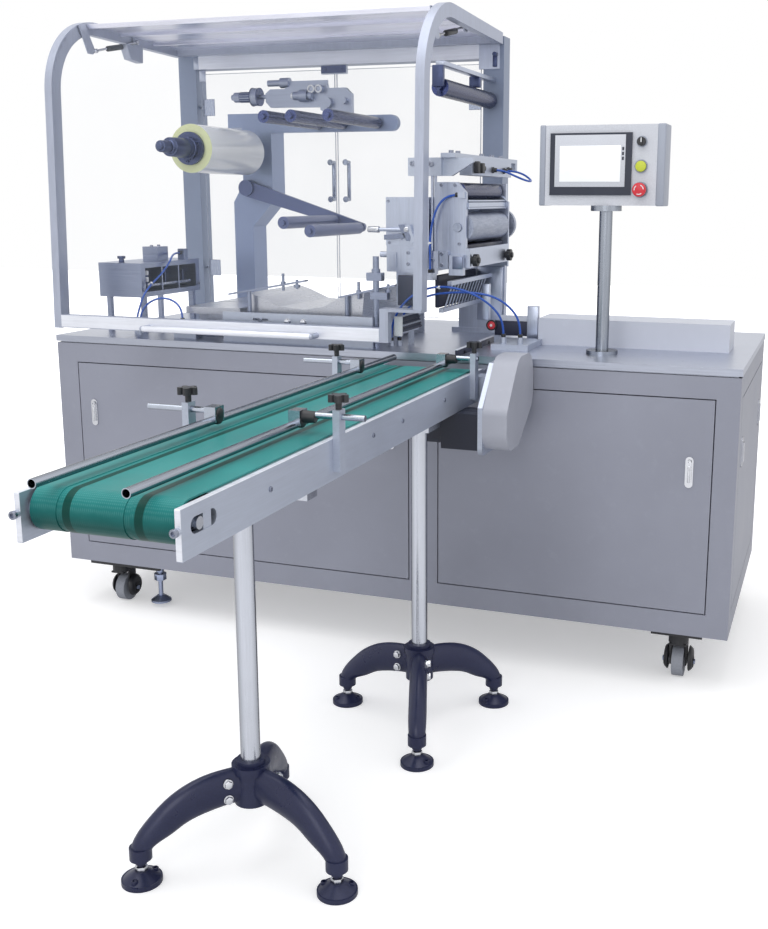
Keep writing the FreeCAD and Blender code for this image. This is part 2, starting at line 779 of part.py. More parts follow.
def rearDoors():
    rearDoor("rear_door_left", "postWidth+12", f"{doorMiddle}-3", f"{doorMiddle}-28", "postWidth+6", "left")
    rearDoor("rear_door_right", f"{doorMiddle}+3", "moduleLength-postWidth-12",
             f"{doorMiddle}+28", "moduleLength-postWidth-6", "right")


def doorHinges():
    parts = []
    y = "postFront+26"
    for z in ("1010", "1560"):
        for x, a, b in (
            ("postWidth+6", "postWidth", "postWidth+6"),
            ("moduleLength-postWidth-6", "moduleLength-postWidth-6", "moduleLength-postWidth"),
        ):
            knuckle = rod("z", f"{z}-4.5", f"{z}+4.5", x, y, "5")
            leaf = block(a, b, f"{y}-3", f"{y}+3", f"{z}-4.5", f"{z}+4.5")
            parts.append(fuse(knuckle, leaf))
    return parts


def doorCatch():
    # magnetic catch that the doors close against from behind
    catch = block(f"{doorMiddle}-45", f"{doorMiddle}+45", "postFront+2", "postFront+16.7",
                  "postTop-beamHeight-30", "postTop-beamHeight")
    return catch


def guardFittings():
    node("guard_fittings", group(*hoodHinges(), *doorHinges(), doorCatch()))


# film reel and film path

def filmColumn():
    y0 = "filmPlane"
    y1 = "filmPlane+90"
    lower = block("275", "345", y0, y1, "tableHeight", "1240")
    upper = block("312", "420", y0, y1, "1235", "1522")
    web = profile("XZ_Plane", y0, "90", [
        ("275", "1160"), ("345", "1160"), ("420", "1240"), ("420", "1300"), ("312", "1300"), ("275", "1240"),
    ])
    arm = block("312", "840", y0, f"{y0}+24", "1462", "1512")
    tip = rod("y", y0, f"{y0}+24", "840", "1487", "25")
    foot = block("250", "370", f"{y0}-20", f"{y1}+20", "tableHeight", "tableHeight+14")
    cap = block("262", "420", y0, y1, "1480", "1524")
    node("film_column", fuse(lower, upper, web, arm, tip, foot, cap, reelBearing()))


def idlers():
    parts = []
    for x in ("594", "682", "800"):
        parts.append(rod("y", "225", "filmPlane-10", x, "idlerHeight-4", "idlerRadius"))
        parts.append(rod("y", "215", "filmPlane", x, "idlerHeight-4", "8"))
    pairs = [fuse(parts[2 * i], parts[2 * i + 1]) for i in range(3)]
    node("upper_idlers", group(*pairs))


def tensionUnit():
    # stepped plate on the idler arm, with the film brake spindle, its disc and the set screws
    y = "filmPlane"
    plate = profile("XZ_Plane", f"{y}-6", "18", [
        ("407", "1559"), ("424", "1541"), ("602", "1539"), ("602", "1530"), ("640", "1512"), ("711", "1512"),
        ("711", "1577"), ("690", "1597"), ("627", "1597"), ("624", "1611"), ("494", "1611"), ("476", "1598"),
        ("424", "1598"), ("407", "1585"),
    ])
    spindle = rod("x", "378", "446", f"{y}+3", "1576", "7")
    disc = rod("x", "358", "380", f"{y}+3", "1576", "28")
    grip = rod("x", "291", "360", f"{y}+3", "1576", "16")
    tip = rod("x", "280", "293", f"{y}+3", "1576", "9")
    bar = block("490", "626", f"{y}-2", f"{y}+6", "1609", "1622")
    brakeKnob = rod("x", "460", "492", f"{y}+2", "1617", "16")
    brakeRod = rod("x", "414", "462", f"{y}+2", "1617", "10")
    button = rod("x", "515", "580", f"{y}-18", "1574", "13")
    collar = rod("x", "538", "566", f"{y}-18", "1574", "19")
    nuts = [rod("y", f"{y}-24", f"{y}-4", x, z, r) for x, z, r in (
        ("579", "1594", "12"), ("605", "1594", "12"), ("631", "1551", "16"), ("689", "1556", "10"))]
    brake = (spindle, disc, grip, tip, brakeKnob, brakeRod)
    node("tension_unit", fuse(plate, bar, button, collar, *brake, *nuts))


def reelBearing():
    # bearing housing on the column that carries the reel mandrel
    housing = rod("y", "filmPlane-40", "filmPlane", "rollMiddle", "rollHeight", "28")
    bore = rod("y", "filmPlane-45", "filmPlane+5", "rollMiddle", "rollHeight", "14.3")
    return cut(housing, bore)


def filmRoll():
    roll = rod("y", "rollFront", "rollFront+rollLength", "rollMiddle", "rollHeight", "rollRadius")
    core = rod("y", "rollFront-5", "rollFront+rollLength+5", "rollMiddle", "rollHeight", "38")
    node("film_roll", cut(roll, core))


def reelChuck():
    mandrel = rod("y", "rollFront-95", "filmPlane-4", "rollMiddle", "rollHeight", "14")
    core = rod("y", "rollFront-4", "rollFront+rollLength+4", "rollMiddle", "rollHeight", "38")
    nose = rod("y", "rollFront-42", "rollFront-4", "rollMiddle", "rollHeight", "30")
    flange = rod("y", "rollFront-14", "rollFront-4", "rollMiddle", "rollHeight", "48")
    grip = rod("y", "rollFront-100", "rollFront-62", "rollMiddle", "rollHeight", "20")
    back = rod("y", "rollFront+rollLength+4", "rollFront+rollLength+16", "rollMiddle", "rollHeight", "46")
    node("reel_chuck", fuse(mandrel, core, nose, flange, grip, back))


def dancerArm():
    y0 = "filmPlane-22"
    y1 = "filmPlane-8"
    arm = profile("XZ_Plane", y0, "14", [
        ("pivotMiddle-22", "pivotHeight-8"), ("pivotMiddle-2", "pivotHeight-28"),
        ("752", "1146"), ("762", "1172"), ("pivotMiddle+14", "pivotHeight+20"),
        ("pivotMiddle-10", "pivotHeight+20"),
    ], [(2, "12"), (3, "12")])
    hub = rod("y", "filmPlane-30", "filmPlane-0.3", "pivotMiddle", "pivotHeight", "26")
    rollers = []
    for x, z in (("655", "1183"), ("741", "1160")):
        rollers.append(rod("y", "215", "filmPlane-32", x, z, "idlerRadius"))
        rollers.append(rod("y", "205", y0, x, z, "8"))
    node("dancer_arm", fuse(arm, hub, *rollers))


# feed and cut unit

feedLow = "(feedHeight-82)"
feedHigh = "(feedHeight+120)"


def feedSides():
    near = profile("XZ_Plane", "feedFront", "12", [
        ("1160", feedLow), ("1246", feedLow), ("1246", "feedHeight+92"), ("1222", feedHigh), ("1160", feedHigh),
    ])
    far = profile("XZ_Plane", "feedBack", "12", [
        ("1160", feedLow), ("1258", "feedHeight-124"), ("1258", "feedHeight+66"), ("1190", feedHigh),
        ("1160", feedHigh),
    ])
    parts = []
    for plate, y in ((near, "feedFront"), (far, "feedBack")):
        parts.append(cut(plate, rod("y", f"{y}-2", f"{y}+14", "feedMiddle", "feedHeight", "12.3")))
    back = block("1162", "1168", "feedFront+12", "feedBack", feedLow, feedHigh)
    tray = block("1168", "1240", "feedFront+12", "feedBack", feedLow, "feedHeight-52")
    clamps = [
        block("1144", "1172", "feedFront-14", "feedFront", "1066", "1114"),
        block("1175", "1200", "feedFront-16", "feedFront", "1066", "1114"),
        block("1203", "1244", "feedFront-18", "feedFront", "1050", "1104"),
    ]
    port = block("1140", "1162", "102", "feedFront-14", "1036", "1056")
    stem = block("1140", "1162", "feedFront-14", "feedFront", "1036", "1066")
    elbow = block("1228", "1244", "feedFront-20", "feedFront", "1256", "1272")
    return fuse(*parts, back, tray, *clamps, port, stem, elbow)


def feedStand():
    # back wall carrying the feed unit, with its foot on the table
    wall = block("1100", "1246", "feedBack+12", "feedBack+30", "tableHeight", feedHigh)
    bore = rod("y", "feedBack+10", "feedBack+32", "feedMiddle", "feedHeight", "50")
    foot = block("1080", "1270", "feedBack+4", "feedBack+70", "tableHeight", "tableHeight+14")
    rib = block("1100", "1116", "feedBack+30", "feedBack+70", "tableHeight+14", "1150")
    node("feed_frame", fuse(cut(wall, bore), foot, rib, feedSides()))


def feedBars():
    # knobbed cross bar, guide bar and the two gripper rails with their wire fingers
    bar = block("1246", "1258", "feedFront", "feedBack", "1070", "1122")
    guide = block("1240", "1250", "feedFront+12", "feedBack", "1232", "1244")
    upper = block("1195", "1207", "feedFront-5", "feedBack+12", "1021", "1033")
    lower = block("1170", "1182", "feedFront-5", "feedBack+12", "946", "958")
    fingers = [strut((1200.0, 160.0 + 28 * i, 1024.0), (1177.0, 160.0 + 28 * i, 955.0), "2.5") for i in range(12)]
    rods = [rod("z", "1062", "1314", x, "145", "4") for x in ("1145.5", "1155")]
    base = block("1138", "1160", "137", "153", "1050", "1062")
    node("feed_cross_bars", group(bar, guide, fuse(upper, lower, *fingers), fuse(*rods, base)))


def pressDrum():
    drum = rod("y", "feedFront+16", "feedBack-4", "feedMiddle-6", "feedHeight+96", "23")
    shaft = rod("y", "feedFront+12", "feedBack", "feedMiddle-6", "feedHeight+96", "10")
    node("press_drum", fuse(drum, shaft))


def feedRoller():
    roller = rod("y", "feedFront+17", "feedBack-5", "feedMiddle", "feedHeight", "feedRadius")
    shaft = rod("y", "feedFront-8", "feedBack+60", "feedMiddle", "feedHeight", "12")
    wheel = rod("y", "feedBack+38", "feedBack+56", "feedMiddle", "feedHeight", "46")
    node("feed_roller", fuse(roller, shaft, wheel))


def gearBlock():
    upper = block("1012", "1138", "feedFront+2", "feedFront+150", "1126", "1258")
    lower = block("1015", "1138", "feedFront-2", "feedFront+150", "1055", "1126")
    side = block("1076", "1134", "feedFront-12", "feedFront-2", "1064", "1118")
    window = block("1019", "1045", "feedFront-6", "feedFront-2", "1066", "1108")
    stub = rod("x", "982", "1018", "170", "1100", "8")
    crank = rod("x", "962", "1080", "128", "1170", "5")
    lever = profile("XZ_Plane", "feedFront-12", "14", [
        ("1062", "1160"), ("1078", "1158"), ("1092", "1134"), ("1103", "1138"), ("1088", "1184"), ("1062", "1182"),
    ])
    strip = block("1020", "1060", "feedFront-4", "feedFront+2", "1142", "1156")
    cover = block("1041", "1100", "feedFront+5", "feedFront+65", "956", "1055")
    brace = block("1100", "1138", "feedFront+100", "feedBack+12", "1090", "1200")
    node("gear_block", fuse(upper, lower, side, window, stub, crank, lever, strip, cover, brace))


def topBar():
    # bar from the rear post to the front lug, with a gusset under its near end
    bar = block("1178", "1218", "feedFront-15", "postFront", "1362", "1374")
    tab = block("1140", "1218", "postFront-20", "postFront", "1340", "1362")
    lug = block("1085", "1180", "feedFront-17", "feedFront+15", "1314", "1362")
    gusset = profile("XZ_Plane", "feedFront", "12", [
        ("1180", "1314"), ("1205", "1314"), ("1265", "1350"), ("1265", "1362"), ("1180", "1362"),
    ])
    node("top_bar", fuse(bar, tab, lug, gusset))


def valves():
    node("valve_block", block("1188", "1225", "250", "640", "1318", "1362"))


def topGuide():
    roller = rod("y", "255", "postFront-14", "moduleLength-42", "1556", "25")
    shaft = rod("y", "245", "postFront", "moduleLength-42", "1556", "9")
    node("top_guide_roller", fuse(roller, shaft))


# folding bed

def bedRails():
    front = block("545", "1010", "40", "50", "tableHeight", "935")
    slots = [
        block("642", "690", "35", "55", "913", "920"),
        block("642", "690", "35", "55", "895", "902"),
        block("932", "1000", "35", "55", "896", "903"),
        block("748", "756", "35", "55", "888", "916"),
        block("797", "805", "35", "55", "888", "916"),
    ]
    back = block("575", "1010", "440", "450", "tableHeight", "925")
    bearing = block("366", "440", "62", "99", "tableHeight", "898")
    knob = rod("x", "440", "500", "80", "875", "19")
    node("bed_rails", group(cut(front, *slots), back, fuse(bearing, knob)))


def hotPlates():
    plates = []
    for x0, x1, y0 in (("380", "560", "112"), ("380", "560", "300")):
        leg = block(f"{x0}+20", f"{x1}-20", f"{y0}+40", f"{y0}+140", "tableHeight", "918")
        top = block(x0, x1, y0, f"{y0}+180", "918", "938")
        plates.append(fuse(leg, top))
    node("hot_plates", group(*plates))


def filmChute():
    # concave trough that leads the film round the product
    wall = profile("XZ_Plane", "90", "330", [
        ("600", "tableHeight"), ("640", "tableHeight"), ("650", "880"), ("900", "880"), ("910", "tableHeight"),
        ("950", "tableHeight"), ("965", "1003"), ("900", "985"), ("840", "955"), ("780", "944"),
        ("700", "950"), ("640", "975"), ("600", "987"),
    ])
    node("film_chute", wall)


def heater():
    # end-seal heater box on tube legs, open towards the bed
    shell = cut(
        block("52", "204", "150", "480", "955", "1058"),
        block("66", "210", "172", "458", "970", "1043"))
    legs = [block(x, f"{x}+14", y, f"{y}+14", "tableHeight", "955")
            for x in ("62", "184") for y in ("170", "446")]
    cylinder = block("118", "172", "290", "350", "1058", "1102")
    valve = block("176", "198", "400", "424", "1058", "1092")
    ribs = [block("66", "200", y, f"{y}+6", "970", "1043") for y in ("266", "360")]
    node("discharge_heater", fuse(shell, cylinder, valve, *legs, *ribs))


def adjustingPlate(x0, z0, x1, z1, y0, y1, post, screw, knob):
    # sloping slotted plate on a table post, with its set screw and the knob under it
    rise = (z1 - z0) / (x1 - x0)
    thick = 5
    strip = profile("XZ_Plane", str(y0), str(y1 - y0), [
        (str(x0), str(z0)), (str(x1), str(z1)), (str(x1), str(z1 + thick)), (str(x0), str(z0 + thick)),
    ])
    middle = (y0 + y1) / 2
    slots = [block(str(a), str(b), str(middle - 3), str(middle + 3), str(z0 - 5), str(z1 + 10))
             for a, b in ((post + 22, screw - 14), (screw + 12, knob - 12)) if b - a > 8]
    height = [z0 + rise * (x - x0) for x in (post, screw, knob)]
    stand = rod("z", "tableHeight", str(height[0] + 3), str(post), str(middle), "6")
    pin = rod("z", str(height[1] - 14), str(height[1] + 34), str(screw), str(middle), "4")
    nut = rod("z", str(height[1] + 3), str(height[1] + 11), str(screw), str(middle), "7")
    thumb = rod("z", str(height[2] - 16), str(height[2] + 10), str(knob), str(middle), "4")
    dial = rod("z", str(height[2] - 12), str(height[2] - 4), str(knob), str(middle), "9")
    return fuse(cut(strip, *slots), stand, pin, nut, thumb, dial)


def adjustingRods():
    plates = [
        adjustingPlate(555, 981, 797, 1025, 58, 84, 616, 725, 768),
        adjustingPlate(893, 981, 1062, 1019, 74, 88, 916, 952, 1040),
    ]
    post = rod("z", "tableHeight", "1100", "1013", "60", "8.5")
    upper = block("990", "1034", "46", "70", "1034", "1056")
    lower = block("1000", "1050", "48", "69", "984", "1003")
    nut = rod("z", "1056", "1066", "1013", "60", "12")
    node("adjusting_rods", group(*plates, fuse(post, upper, lower, nut)))


def infeedComb():
    back = block("1080", "1086", "40", "200", "890", "940")
    teeth = []
    for i in range(12):
        teeth.append(rod("x", "1086", "1098", f"{50 + 12 * i}", "915", "4"))
    post = block("1072", "1080", "150", "175", "tableHeight", "940")
    node("infeed_comb", group(fuse(back, post, *teeth), *hosePorts()))


# right table

def pusherCover():
    cover = block("1412", "1940", "290", "430", "tableHeight", "925")
    head = block("1290", "1372", "322", "334", "872", "925")
    bracket = block("1372", "1404", "316", "334", "tableHeight", "955")
    ram = rod("x", "1404", "1412", "325", "898", "7")
    node("pusher_cover", fuse(cover, head, bracket, ram))


def hosePorts():
    # push-in fittings: two on a manifold plate, four in the table
    plate = block("1320", "1424", "132", "290", "tableHeight", "866")
    parts = [fuse(plate, rod("z", "866", "884", "1350", "152", "8"), rod("z", "866", "884", "1396", "158", "8"))]
    for x, y in (("1034", "118"), ("1052", "134"), ("198", "124"), ("222", "104")):
        parts.append(rod("z", "tableHeight", "864", x, y, "8"))
    return parts


hoses = {
    "hose_feed": [(1228, 124, 1264), (1200, 124, 1264), (1172, 119, 1240), (1156, 114, 1194), (1150, 111, 1138),
                  (1151, 112, 1092), (1151, 112, 1056)],
    "hose_link_near": [(1350, 152, 884), (1350, 152, 922), (1330, 134, 962), (1290, 114, 996), (1236, 106, 1016),
                       (1178, 104, 1021), (1122, 106, 1007), (1074, 110, 973), (1044, 115, 928), (1034, 118, 892),
                       (1034, 118, 864)],
    "hose_link_far": [(1396, 158, 884), (1396, 158, 924), (1372, 144, 966), (1328, 132, 996), (1272, 124, 1005),
                      (1212, 122, 1004), (1152, 124, 996), (1096, 128, 974), (1064, 131, 938), (1052, 134, 902),
                      (1052, 134, 864)],
    "hose_heater": [(187, 400, 1080), (187, 370, 1080), (200, 330, 1074), (217, 288, 1056), (221, 238, 1024),
                    (220, 188, 1000), (216, 144, 970), (206, 128, 924), (198, 124, 892), (198, 124, 864)],
    "hose_bed": [(222, 104, 864), (222, 104, 896), (240, 104, 934), (280, 103, 958), (324, 99, 962),
                 (362, 91, 950), (384, 84, 926), (384, 84, 898)],
    "hose_valve": [(1225, 440, 1336), (1257, 440, 1336), (1290, 446, 1320), (1320, 468, 1306), (1328, 502, 1304),
                   (1314, 534, 1312), (1290, 550, 1326), (1258, 552, 1336), (1225, 552, 1336)],
}
hoseRadius = 3


def hoseTube(label, route):
    # straight runs joined by tangent arcs, swept with a round section
    spots = [V(*p) for p in route]
    edges = []
    radii = []
    here = spots[0]
    for i in range(1, len(spots) - 1):
        before = spots[i - 1] - spots[i]
        after = spots[i + 1] - spots[i]
        turn = math.pi - before.getAngle(after)
        setback = 0.45 * min(before.Length, after.Length)
        radii.append(setback / math.tan(turn / 2))
        first = spots[i] + before.normalize() * setback
        last = spots[i] + after.normalize() * setback
        centre = before + after
        centre.normalize()
        middle = spots[i] + centre * (radii[-1] / math.cos(turn / 2) - radii[-1])
        edges.append(Part.LineSegment(here, first).toShape())
        edges.append(Part.Arc(first, middle, last).toShape())
        here = last
    edges.append(Part.LineSegment(here, spots[-1]).toShape())
    path = Part.Wire(edges)
    start = (spots[1] - spots[0]).normalize()
    section = Part.Wire([Part.Circle(spots[0], start, hoseRadius).toShape()])
    tube = path.makePipeShell([section], True, False)
    ratio = tube.Volume / (path.Length * math.pi * hoseRadius ** 2)
    print(label, "length", round(path.Length), "smallest radius", round(min(radii)), "volume ratio", round(ratio, 3))
    item = doc.addObject("Part::Feature", "Hose")
    item.Shape = tube
    node(label, group(item))


def airHoses():
    for label, route in hoses.items():
        hoseTube(label, route)


def controlPost():
    flange = rod("z", "tableHeight", "tableHeight+10", "postMiddle", "postDepth", "42")
    post = rod("z", "tableHeight+10", "boxLow-14", "postMiddle", "postDepth", "17")
    head = rod("z", "boxLow-14", "boxLow", "postMiddle", "postDepth", "40")
    node("control_post", fuse(flange, post, head))


def controlBox():
    shell = profile("XZ_Plane", "postDepth-30", "85", [
        ("postMiddle-172", "boxLow"), ("postMiddle+151", "boxLow"),
        ("postMiddle+151", "boxHigh"), ("postMiddle-172", "boxHigh"),
    ], [(0, "10"), (1, "10"), (2, "10"), (3, "10")])
    node("control_box", shell)


def controlScreen():
    frame = block("postMiddle-144", "postMiddle+68", "postDepth-36", "postDepth-30", "boxLow+26", "boxHigh-20")
    node("control_screen", frame)


def controlButtons():
    y = "postDepth-30"
    x = "postMiddle+92"
    parts = [
        rod("y", f"{y}-14", y, x, "boxHigh-43", "11"),
        rod("y", f"{y}-8", y, x, "boxLow+98", "14"),
        rod("y", f"{y}-24", y, x, "boxLow+40", "17"),
    ]
    node("control_buttons", group(*parts))


def build():
    for make in (
        cabinetShell, cabinetBase, accessPanels, panelLatches, tableTop,
        casterMounts, casterWheels, levellingFeet,
        conveyorPlates, conveyorBed, conveyorBelt, conveyorRollers,
        driveMotor, driveMount, driveGuard, tripods, tripodFeet, standPoles, railClamps, clampKnobs,
        rearFrame, guardFittings, hoodFrame, hoodSheet, rearDoors,
        filmColumn, idlers, tensionUnit, filmRoll, reelChuck, dancerArm,
        feedStand, feedBars, pressDrum, feedRoller, gearBlock, topBar, valves, topGuide,
        bedRails, hotPlates, filmChute, heater, adjustingRods, infeedComb,
        pusherCover, controlPost, controlBox, controlScreen, controlButtons, airHoses,
    ):
        make()
    guideRail("guide_rail_left", "leftRailMiddle", "left", "conveyorFar-20")
    guideRail("guide_rail_right", "rightRailMiddle", "right", "conveyorFar-12")


build()
doc.recompute()

faulty = []
for item in doc.Objects:
    if "Invalid" in item.State or "Error" in item.State:
        faulty.append(item.Label)
for label, item in nodes.items():
    if item.Shape.isNull() or not item.Shape.isValid():
        faulty.append(label)
if faulty:
    raise SystemExit("not built: " + ", ".join(faulty))

os.makedirs("parts", exist_ok=True)
whole = FreeCAD.BoundBox()
for label, item in nodes.items():
    item.Shape.exportStep(f"parts/{label}.step")
    whole.add(item.Shape.BoundBox)
print(len(nodes), "sub-parts, box", whole)
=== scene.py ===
import math

import bmesh
import bpy
from mathutils import Matrix, Vector


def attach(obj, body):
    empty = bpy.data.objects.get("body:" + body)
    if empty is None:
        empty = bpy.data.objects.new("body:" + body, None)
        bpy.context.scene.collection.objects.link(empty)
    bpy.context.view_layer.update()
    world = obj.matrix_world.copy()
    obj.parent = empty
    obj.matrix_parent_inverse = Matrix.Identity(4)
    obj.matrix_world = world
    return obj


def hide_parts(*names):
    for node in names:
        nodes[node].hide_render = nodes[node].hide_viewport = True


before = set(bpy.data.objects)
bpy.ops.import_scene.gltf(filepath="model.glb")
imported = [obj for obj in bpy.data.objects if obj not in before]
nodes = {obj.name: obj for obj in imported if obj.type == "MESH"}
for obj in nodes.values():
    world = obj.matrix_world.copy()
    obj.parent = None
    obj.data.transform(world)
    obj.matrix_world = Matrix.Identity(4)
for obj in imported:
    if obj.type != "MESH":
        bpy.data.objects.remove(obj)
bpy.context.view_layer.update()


def spot(x, y, z):
    # machine millimetres (cabinet corner, floor) to the row's metres
    return Vector(((x - 1000) / 1000, (y + 339) / 1000, z / 1000))


def tone(r, g, b):
    # a colour read off in 0-255 steps, made linear
    linear = []
    for v in (r, g, b):
        v /= 255
        linear.append(v / 12.92 if v <= 0.04045 else ((v + 0.055) / 1.055) ** 2.4)
    return (*linear, 1.0)


# camera

cameraSizes = {
    "place": (1.20965, -2.45444, 1.25677),
    "yaw": -0.335114,
    "pitch": 0.201749,
    "roll": 0.003335,
    "lens": 43.61,
    "shiftX": -0.0665,
    "shiftY": -0.0395,
}


def makeCamera():
    s = cameraSizes
    cy, sy = math.cos(s["yaw"]), math.sin(s["yaw"])
    cp, sp = math.cos(s["pitch"]), math.sin(s["pitch"])
    cr, sr = math.cos(s["roll"]), math.sin(s["roll"])
    ahead = Vector((sy * cp, cy * cp, -sp))
    level = Vector((cy, -sy, 0))
    upright = level.cross(ahead)
    right = level * cr + upright * sr
    up = upright * cr - level * sr
    turn = Matrix((right, up, -ahead)).transposed().to_4x4()
    data = bpy.data.cameras.new("photoCamera")
    data.lens = s["lens"]
    data.sensor_width = 36
    data.shift_x = s["shiftX"]
    data.shift_y = s["shiftY"]
    data.clip_start = 0.05
    data.clip_end = 100
    item = bpy.data.objects.new("photoCamera", data)
    bpy.context.scene.collection.objects.link(item)
    item.matrix_world = Matrix.Translation(s["place"]) @ turn
    bpy.context.scene.camera = item
    bpy.context.scene.view_settings.view_transform = "Standard"


makeCamera()
print("camera placed")


# air hoses

hoseSizes = {
    "radius": 0.003,
    "hose_feed": (0.250, [(1228, 124, 1264), (1200, 124, 1264), (1172, 119, 1240), (1156, 114, 1194),
                          (1150, 111, 1138), (1151, 112, 1092), (1151, 112, 1056)]),
    "hose_link_near": (0.491, [(1350, 152, 884), (1350, 152, 922), (1330, 134, 962), (1290, 114, 996),
                               (1236, 106, 1016), (1178, 104, 1021), (1122, 106, 1007), (1074, 110, 973),
                               (1044, 115, 928), (1034, 118, 892), (1034, 118, 864)]),
    "hose_link_far": (0.503, [(1396, 158, 884), (1396, 158, 924), (1372, 144, 966), (1328, 132, 996),
                              (1272, 124, 1005), (1212, 122, 1004), (1152, 124, 996), (1096, 128, 974),
                              (1064, 131, 938), (1052, 134, 902), (1052, 134, 864)]),
    "hose_heater": (0.398, [(187, 400, 1080), (187, 370, 1080), (200, 330, 1074), (217, 288, 1056),
                            (221, 238, 1024), (220, 188, 1000), (216, 144, 970), (206, 128, 924),
                            (198, 124, 892), (198, 124, 864)]),
    "hose_bed": (0.262, [(222, 104, 864), (222, 104, 896), (240, 104, 934), (280, 103, 958), (324, 99, 962),
                         (362, 91, 950), (384, 84, 926), (384, 84, 898)]),
    "hose_valve": (0.273, [(1225, 440, 1336), (1257, 440, 1336), (1290, 446, 1320), (1320, 468, 1306),
                           (1328, 502, 1304), (1314, 534, 1312), (1290, 550, 1326), (1258, 552, 1336),
                           (1225, 552, 1336)]),
}


def makeHoses():
    made = []
    for label, entry in hoseSizes.items():
        if label == "radius":
            continue
        length, route = entry
        curve = bpy.data.curves.new(label + "_air", "CURVE")
        curve.dimensions = "3D"
        line = curve.splines.new("NURBS")
        line.points.add(len(route) - 1)
        for point, place in zip(line.points, route):
            point.co = (*spot(*place), 1)
            point.radius = hoseSizes["radius"]
        line.order_u = 3
        line.use_endpoint_u = True
        line.resolution_u = 10
        curve.bevel_depth = 1
        curve.bevel_resolution = 5
        curve.use_fill_caps = True
        hose = bpy.data.objects.new(label + "_air", curve)
        bpy.context.scene.collection.objects.link(hose)
        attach(hose, "machine")
        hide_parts(label)
        made.append(hose)
    return made


hoses = makeHoses()
print("air hoses laid:", len(hoses))


# shader groups shared by the finishes

def newGroup(name, inputs, outputs):
    group = bpy.data.node_groups.new(name, "ShaderNodeTree")
    for label, kind, value in inputs:
        socket = group.interface.new_socket(label, in_out="INPUT", socket_type=kind)
        if value is not None:
            socket.default_value = value
    for label, kind in outputs:
        group.interface.new_socket(label, in_out="OUTPUT", socket_type=kind)
    return group, group.nodes.new("NodeGroupInput"), group.nodes.new("NodeGroupOutput")


def noiseNode(tree, vector, scale, detail, rough=0.55):
    noise = tree.nodes.new("ShaderNodeTexNoise")
    noise.inputs["Detail"].default_value = detail
    noise.inputs["Roughness"].default_value = rough
    tree.links.new(vector, noise.inputs["Vector"])
    if isinstance(scale, (int, float)):
        noise.inputs["Scale"].default_value = scale
    else:
        tree.links.new(scale, noise.inputs["Scale"])
    return noise.outputs["Fac"]


def mathNode(tree, operation, a, b):
    node = tree.nodes.new("ShaderNodeMath")
    node.operation = operation
    for socket, value in zip(node.inputs, (a, b)):
        if isinstance(value, (int, float)):
            socket.default_value = value
        else:
            tree.links.new(value, socket)
    return node.outputs[0]


def makeSpeckleGroup():
    # sprayed enamel: soft cloudy tone, fine orange-peel height, sparse scuffs
    group, start, end = newGroup(
        "sprayedSurface",
        [("Vector", "NodeSocketVector", None), ("Cloud Scale", "NodeSocketFloat", 3.0),
         ("Peel Scale", "NodeSocketFloat", 420.0), ("Scuff Scale", "NodeSocketFloat", 22.0)],
        [("Tone", "NodeSocketFloat"), ("Scuff", "NodeSocketFloat"), ("Height", "NodeSocketFloat")])
    vector = start.outputs["Vector"]
    cloud = noiseNode(group, vector, start.outputs["Cloud Scale"], 4)
    peel = noiseNode(group, vector, start.outputs["Peel Scale"], 2)
    scuff = noiseNode(group, vector, start.outputs["Scuff Scale"], 9, 0.7)
    ramp = group.nodes.new("ShaderNodeMapRange")
    ramp.inputs["From Min"].default_value = 0.56
    ramp.inputs["From Max"].default_value = 0.74
    group.links.new(scuff, ramp.inputs["Value"])
    group.links.new(cloud, end.inputs["Tone"])
    group.links.new(ramp.outputs["Result"], end.inputs["Scuff"])
    group.links.new(peel, end.inputs["Height"])
    return group


def makeBrushedGroup():
    # long drawn scratches along one axis, set by the stretch vector
    group, start, end = newGroup(
        "brushedSurface",
        [("Vector", "NodeSocketVector", None), ("Stretch", "NodeSocketVector", (2.0, 160.0, 160.0)),
         ("Smear Scale", "NodeSocketFloat", 5.0)],
        [("Tone", "NodeSocketFloat"), ("Smear", "NodeSocketFloat"), ("Height", "NodeSocketFloat")])
    stretch = group.nodes.new("ShaderNodeVectorMath")
    stretch.operation = "MULTIPLY"
    group.links.new(start.outputs["Vector"], stretch.inputs[0])
    group.links.new(start.outputs["Stretch"], stretch.inputs[1])
    marks = noiseNode(group, stretch.outputs["Vector"], 2.2, 6, 0.65)
    fine = noiseNode(group, stretch.outputs["Vector"], 7.0, 3, 0.6)
    smear = noiseNode(group, start.outputs["Vector"], start.outputs["Smear Scale"], 5, 0.6)
    blend = mathNode(group, "ADD", mathNode(group, "MULTIPLY", marks, 0.6), mathNode(group, "MULTIPLY", fine, 0.4))
    group.links.new(blend, end.inputs["Tone"])
    group.links.new(smear, end.inputs["Smear"])
    group.links.new(fine, end.inputs["Height"])
    return group


def makeGrainGroup():
    # moulded, cast or rubber skin: pebbled height and a dusty mask
    group, start, end = newGroup(
        "grainedSurface",
        [("Vector", "NodeSocketVector", None), ("Grain Scale", "NodeSocketFloat", 260.0),
         ("Dust Scale", "NodeSocketFloat", 9.0)],
        [("Tone", "NodeSocketFloat"), ("Dust", "NodeSocketFloat"), ("Height", "NodeSocketFloat")])
    vector = start.outputs["Vector"]
    grain = noiseNode(group, vector, start.outputs["Grain Scale"], 3, 0.6)
    dust = noiseNode(group, vector, start.outputs["Dust Scale"], 7, 0.65)
    cells = group.nodes.new("ShaderNodeTexVoronoi")
    group.links.new(vector, cells.inputs["Vector"])
    group.links.new(start.outputs["Grain Scale"], cells.inputs["Scale"])
    height = mathNode(group, "ADD", mathNode(group, "MULTIPLY", grain, 0.6),
                      mathNode(group, "MULTIPLY", cells.outputs["Distance"], 0.4))
    group.links.new(grain, end.inputs["Tone"])
    group.links.new(dust, end.inputs["Dust"])
    group.links.new(height, end.inputs["Height"])
    return group


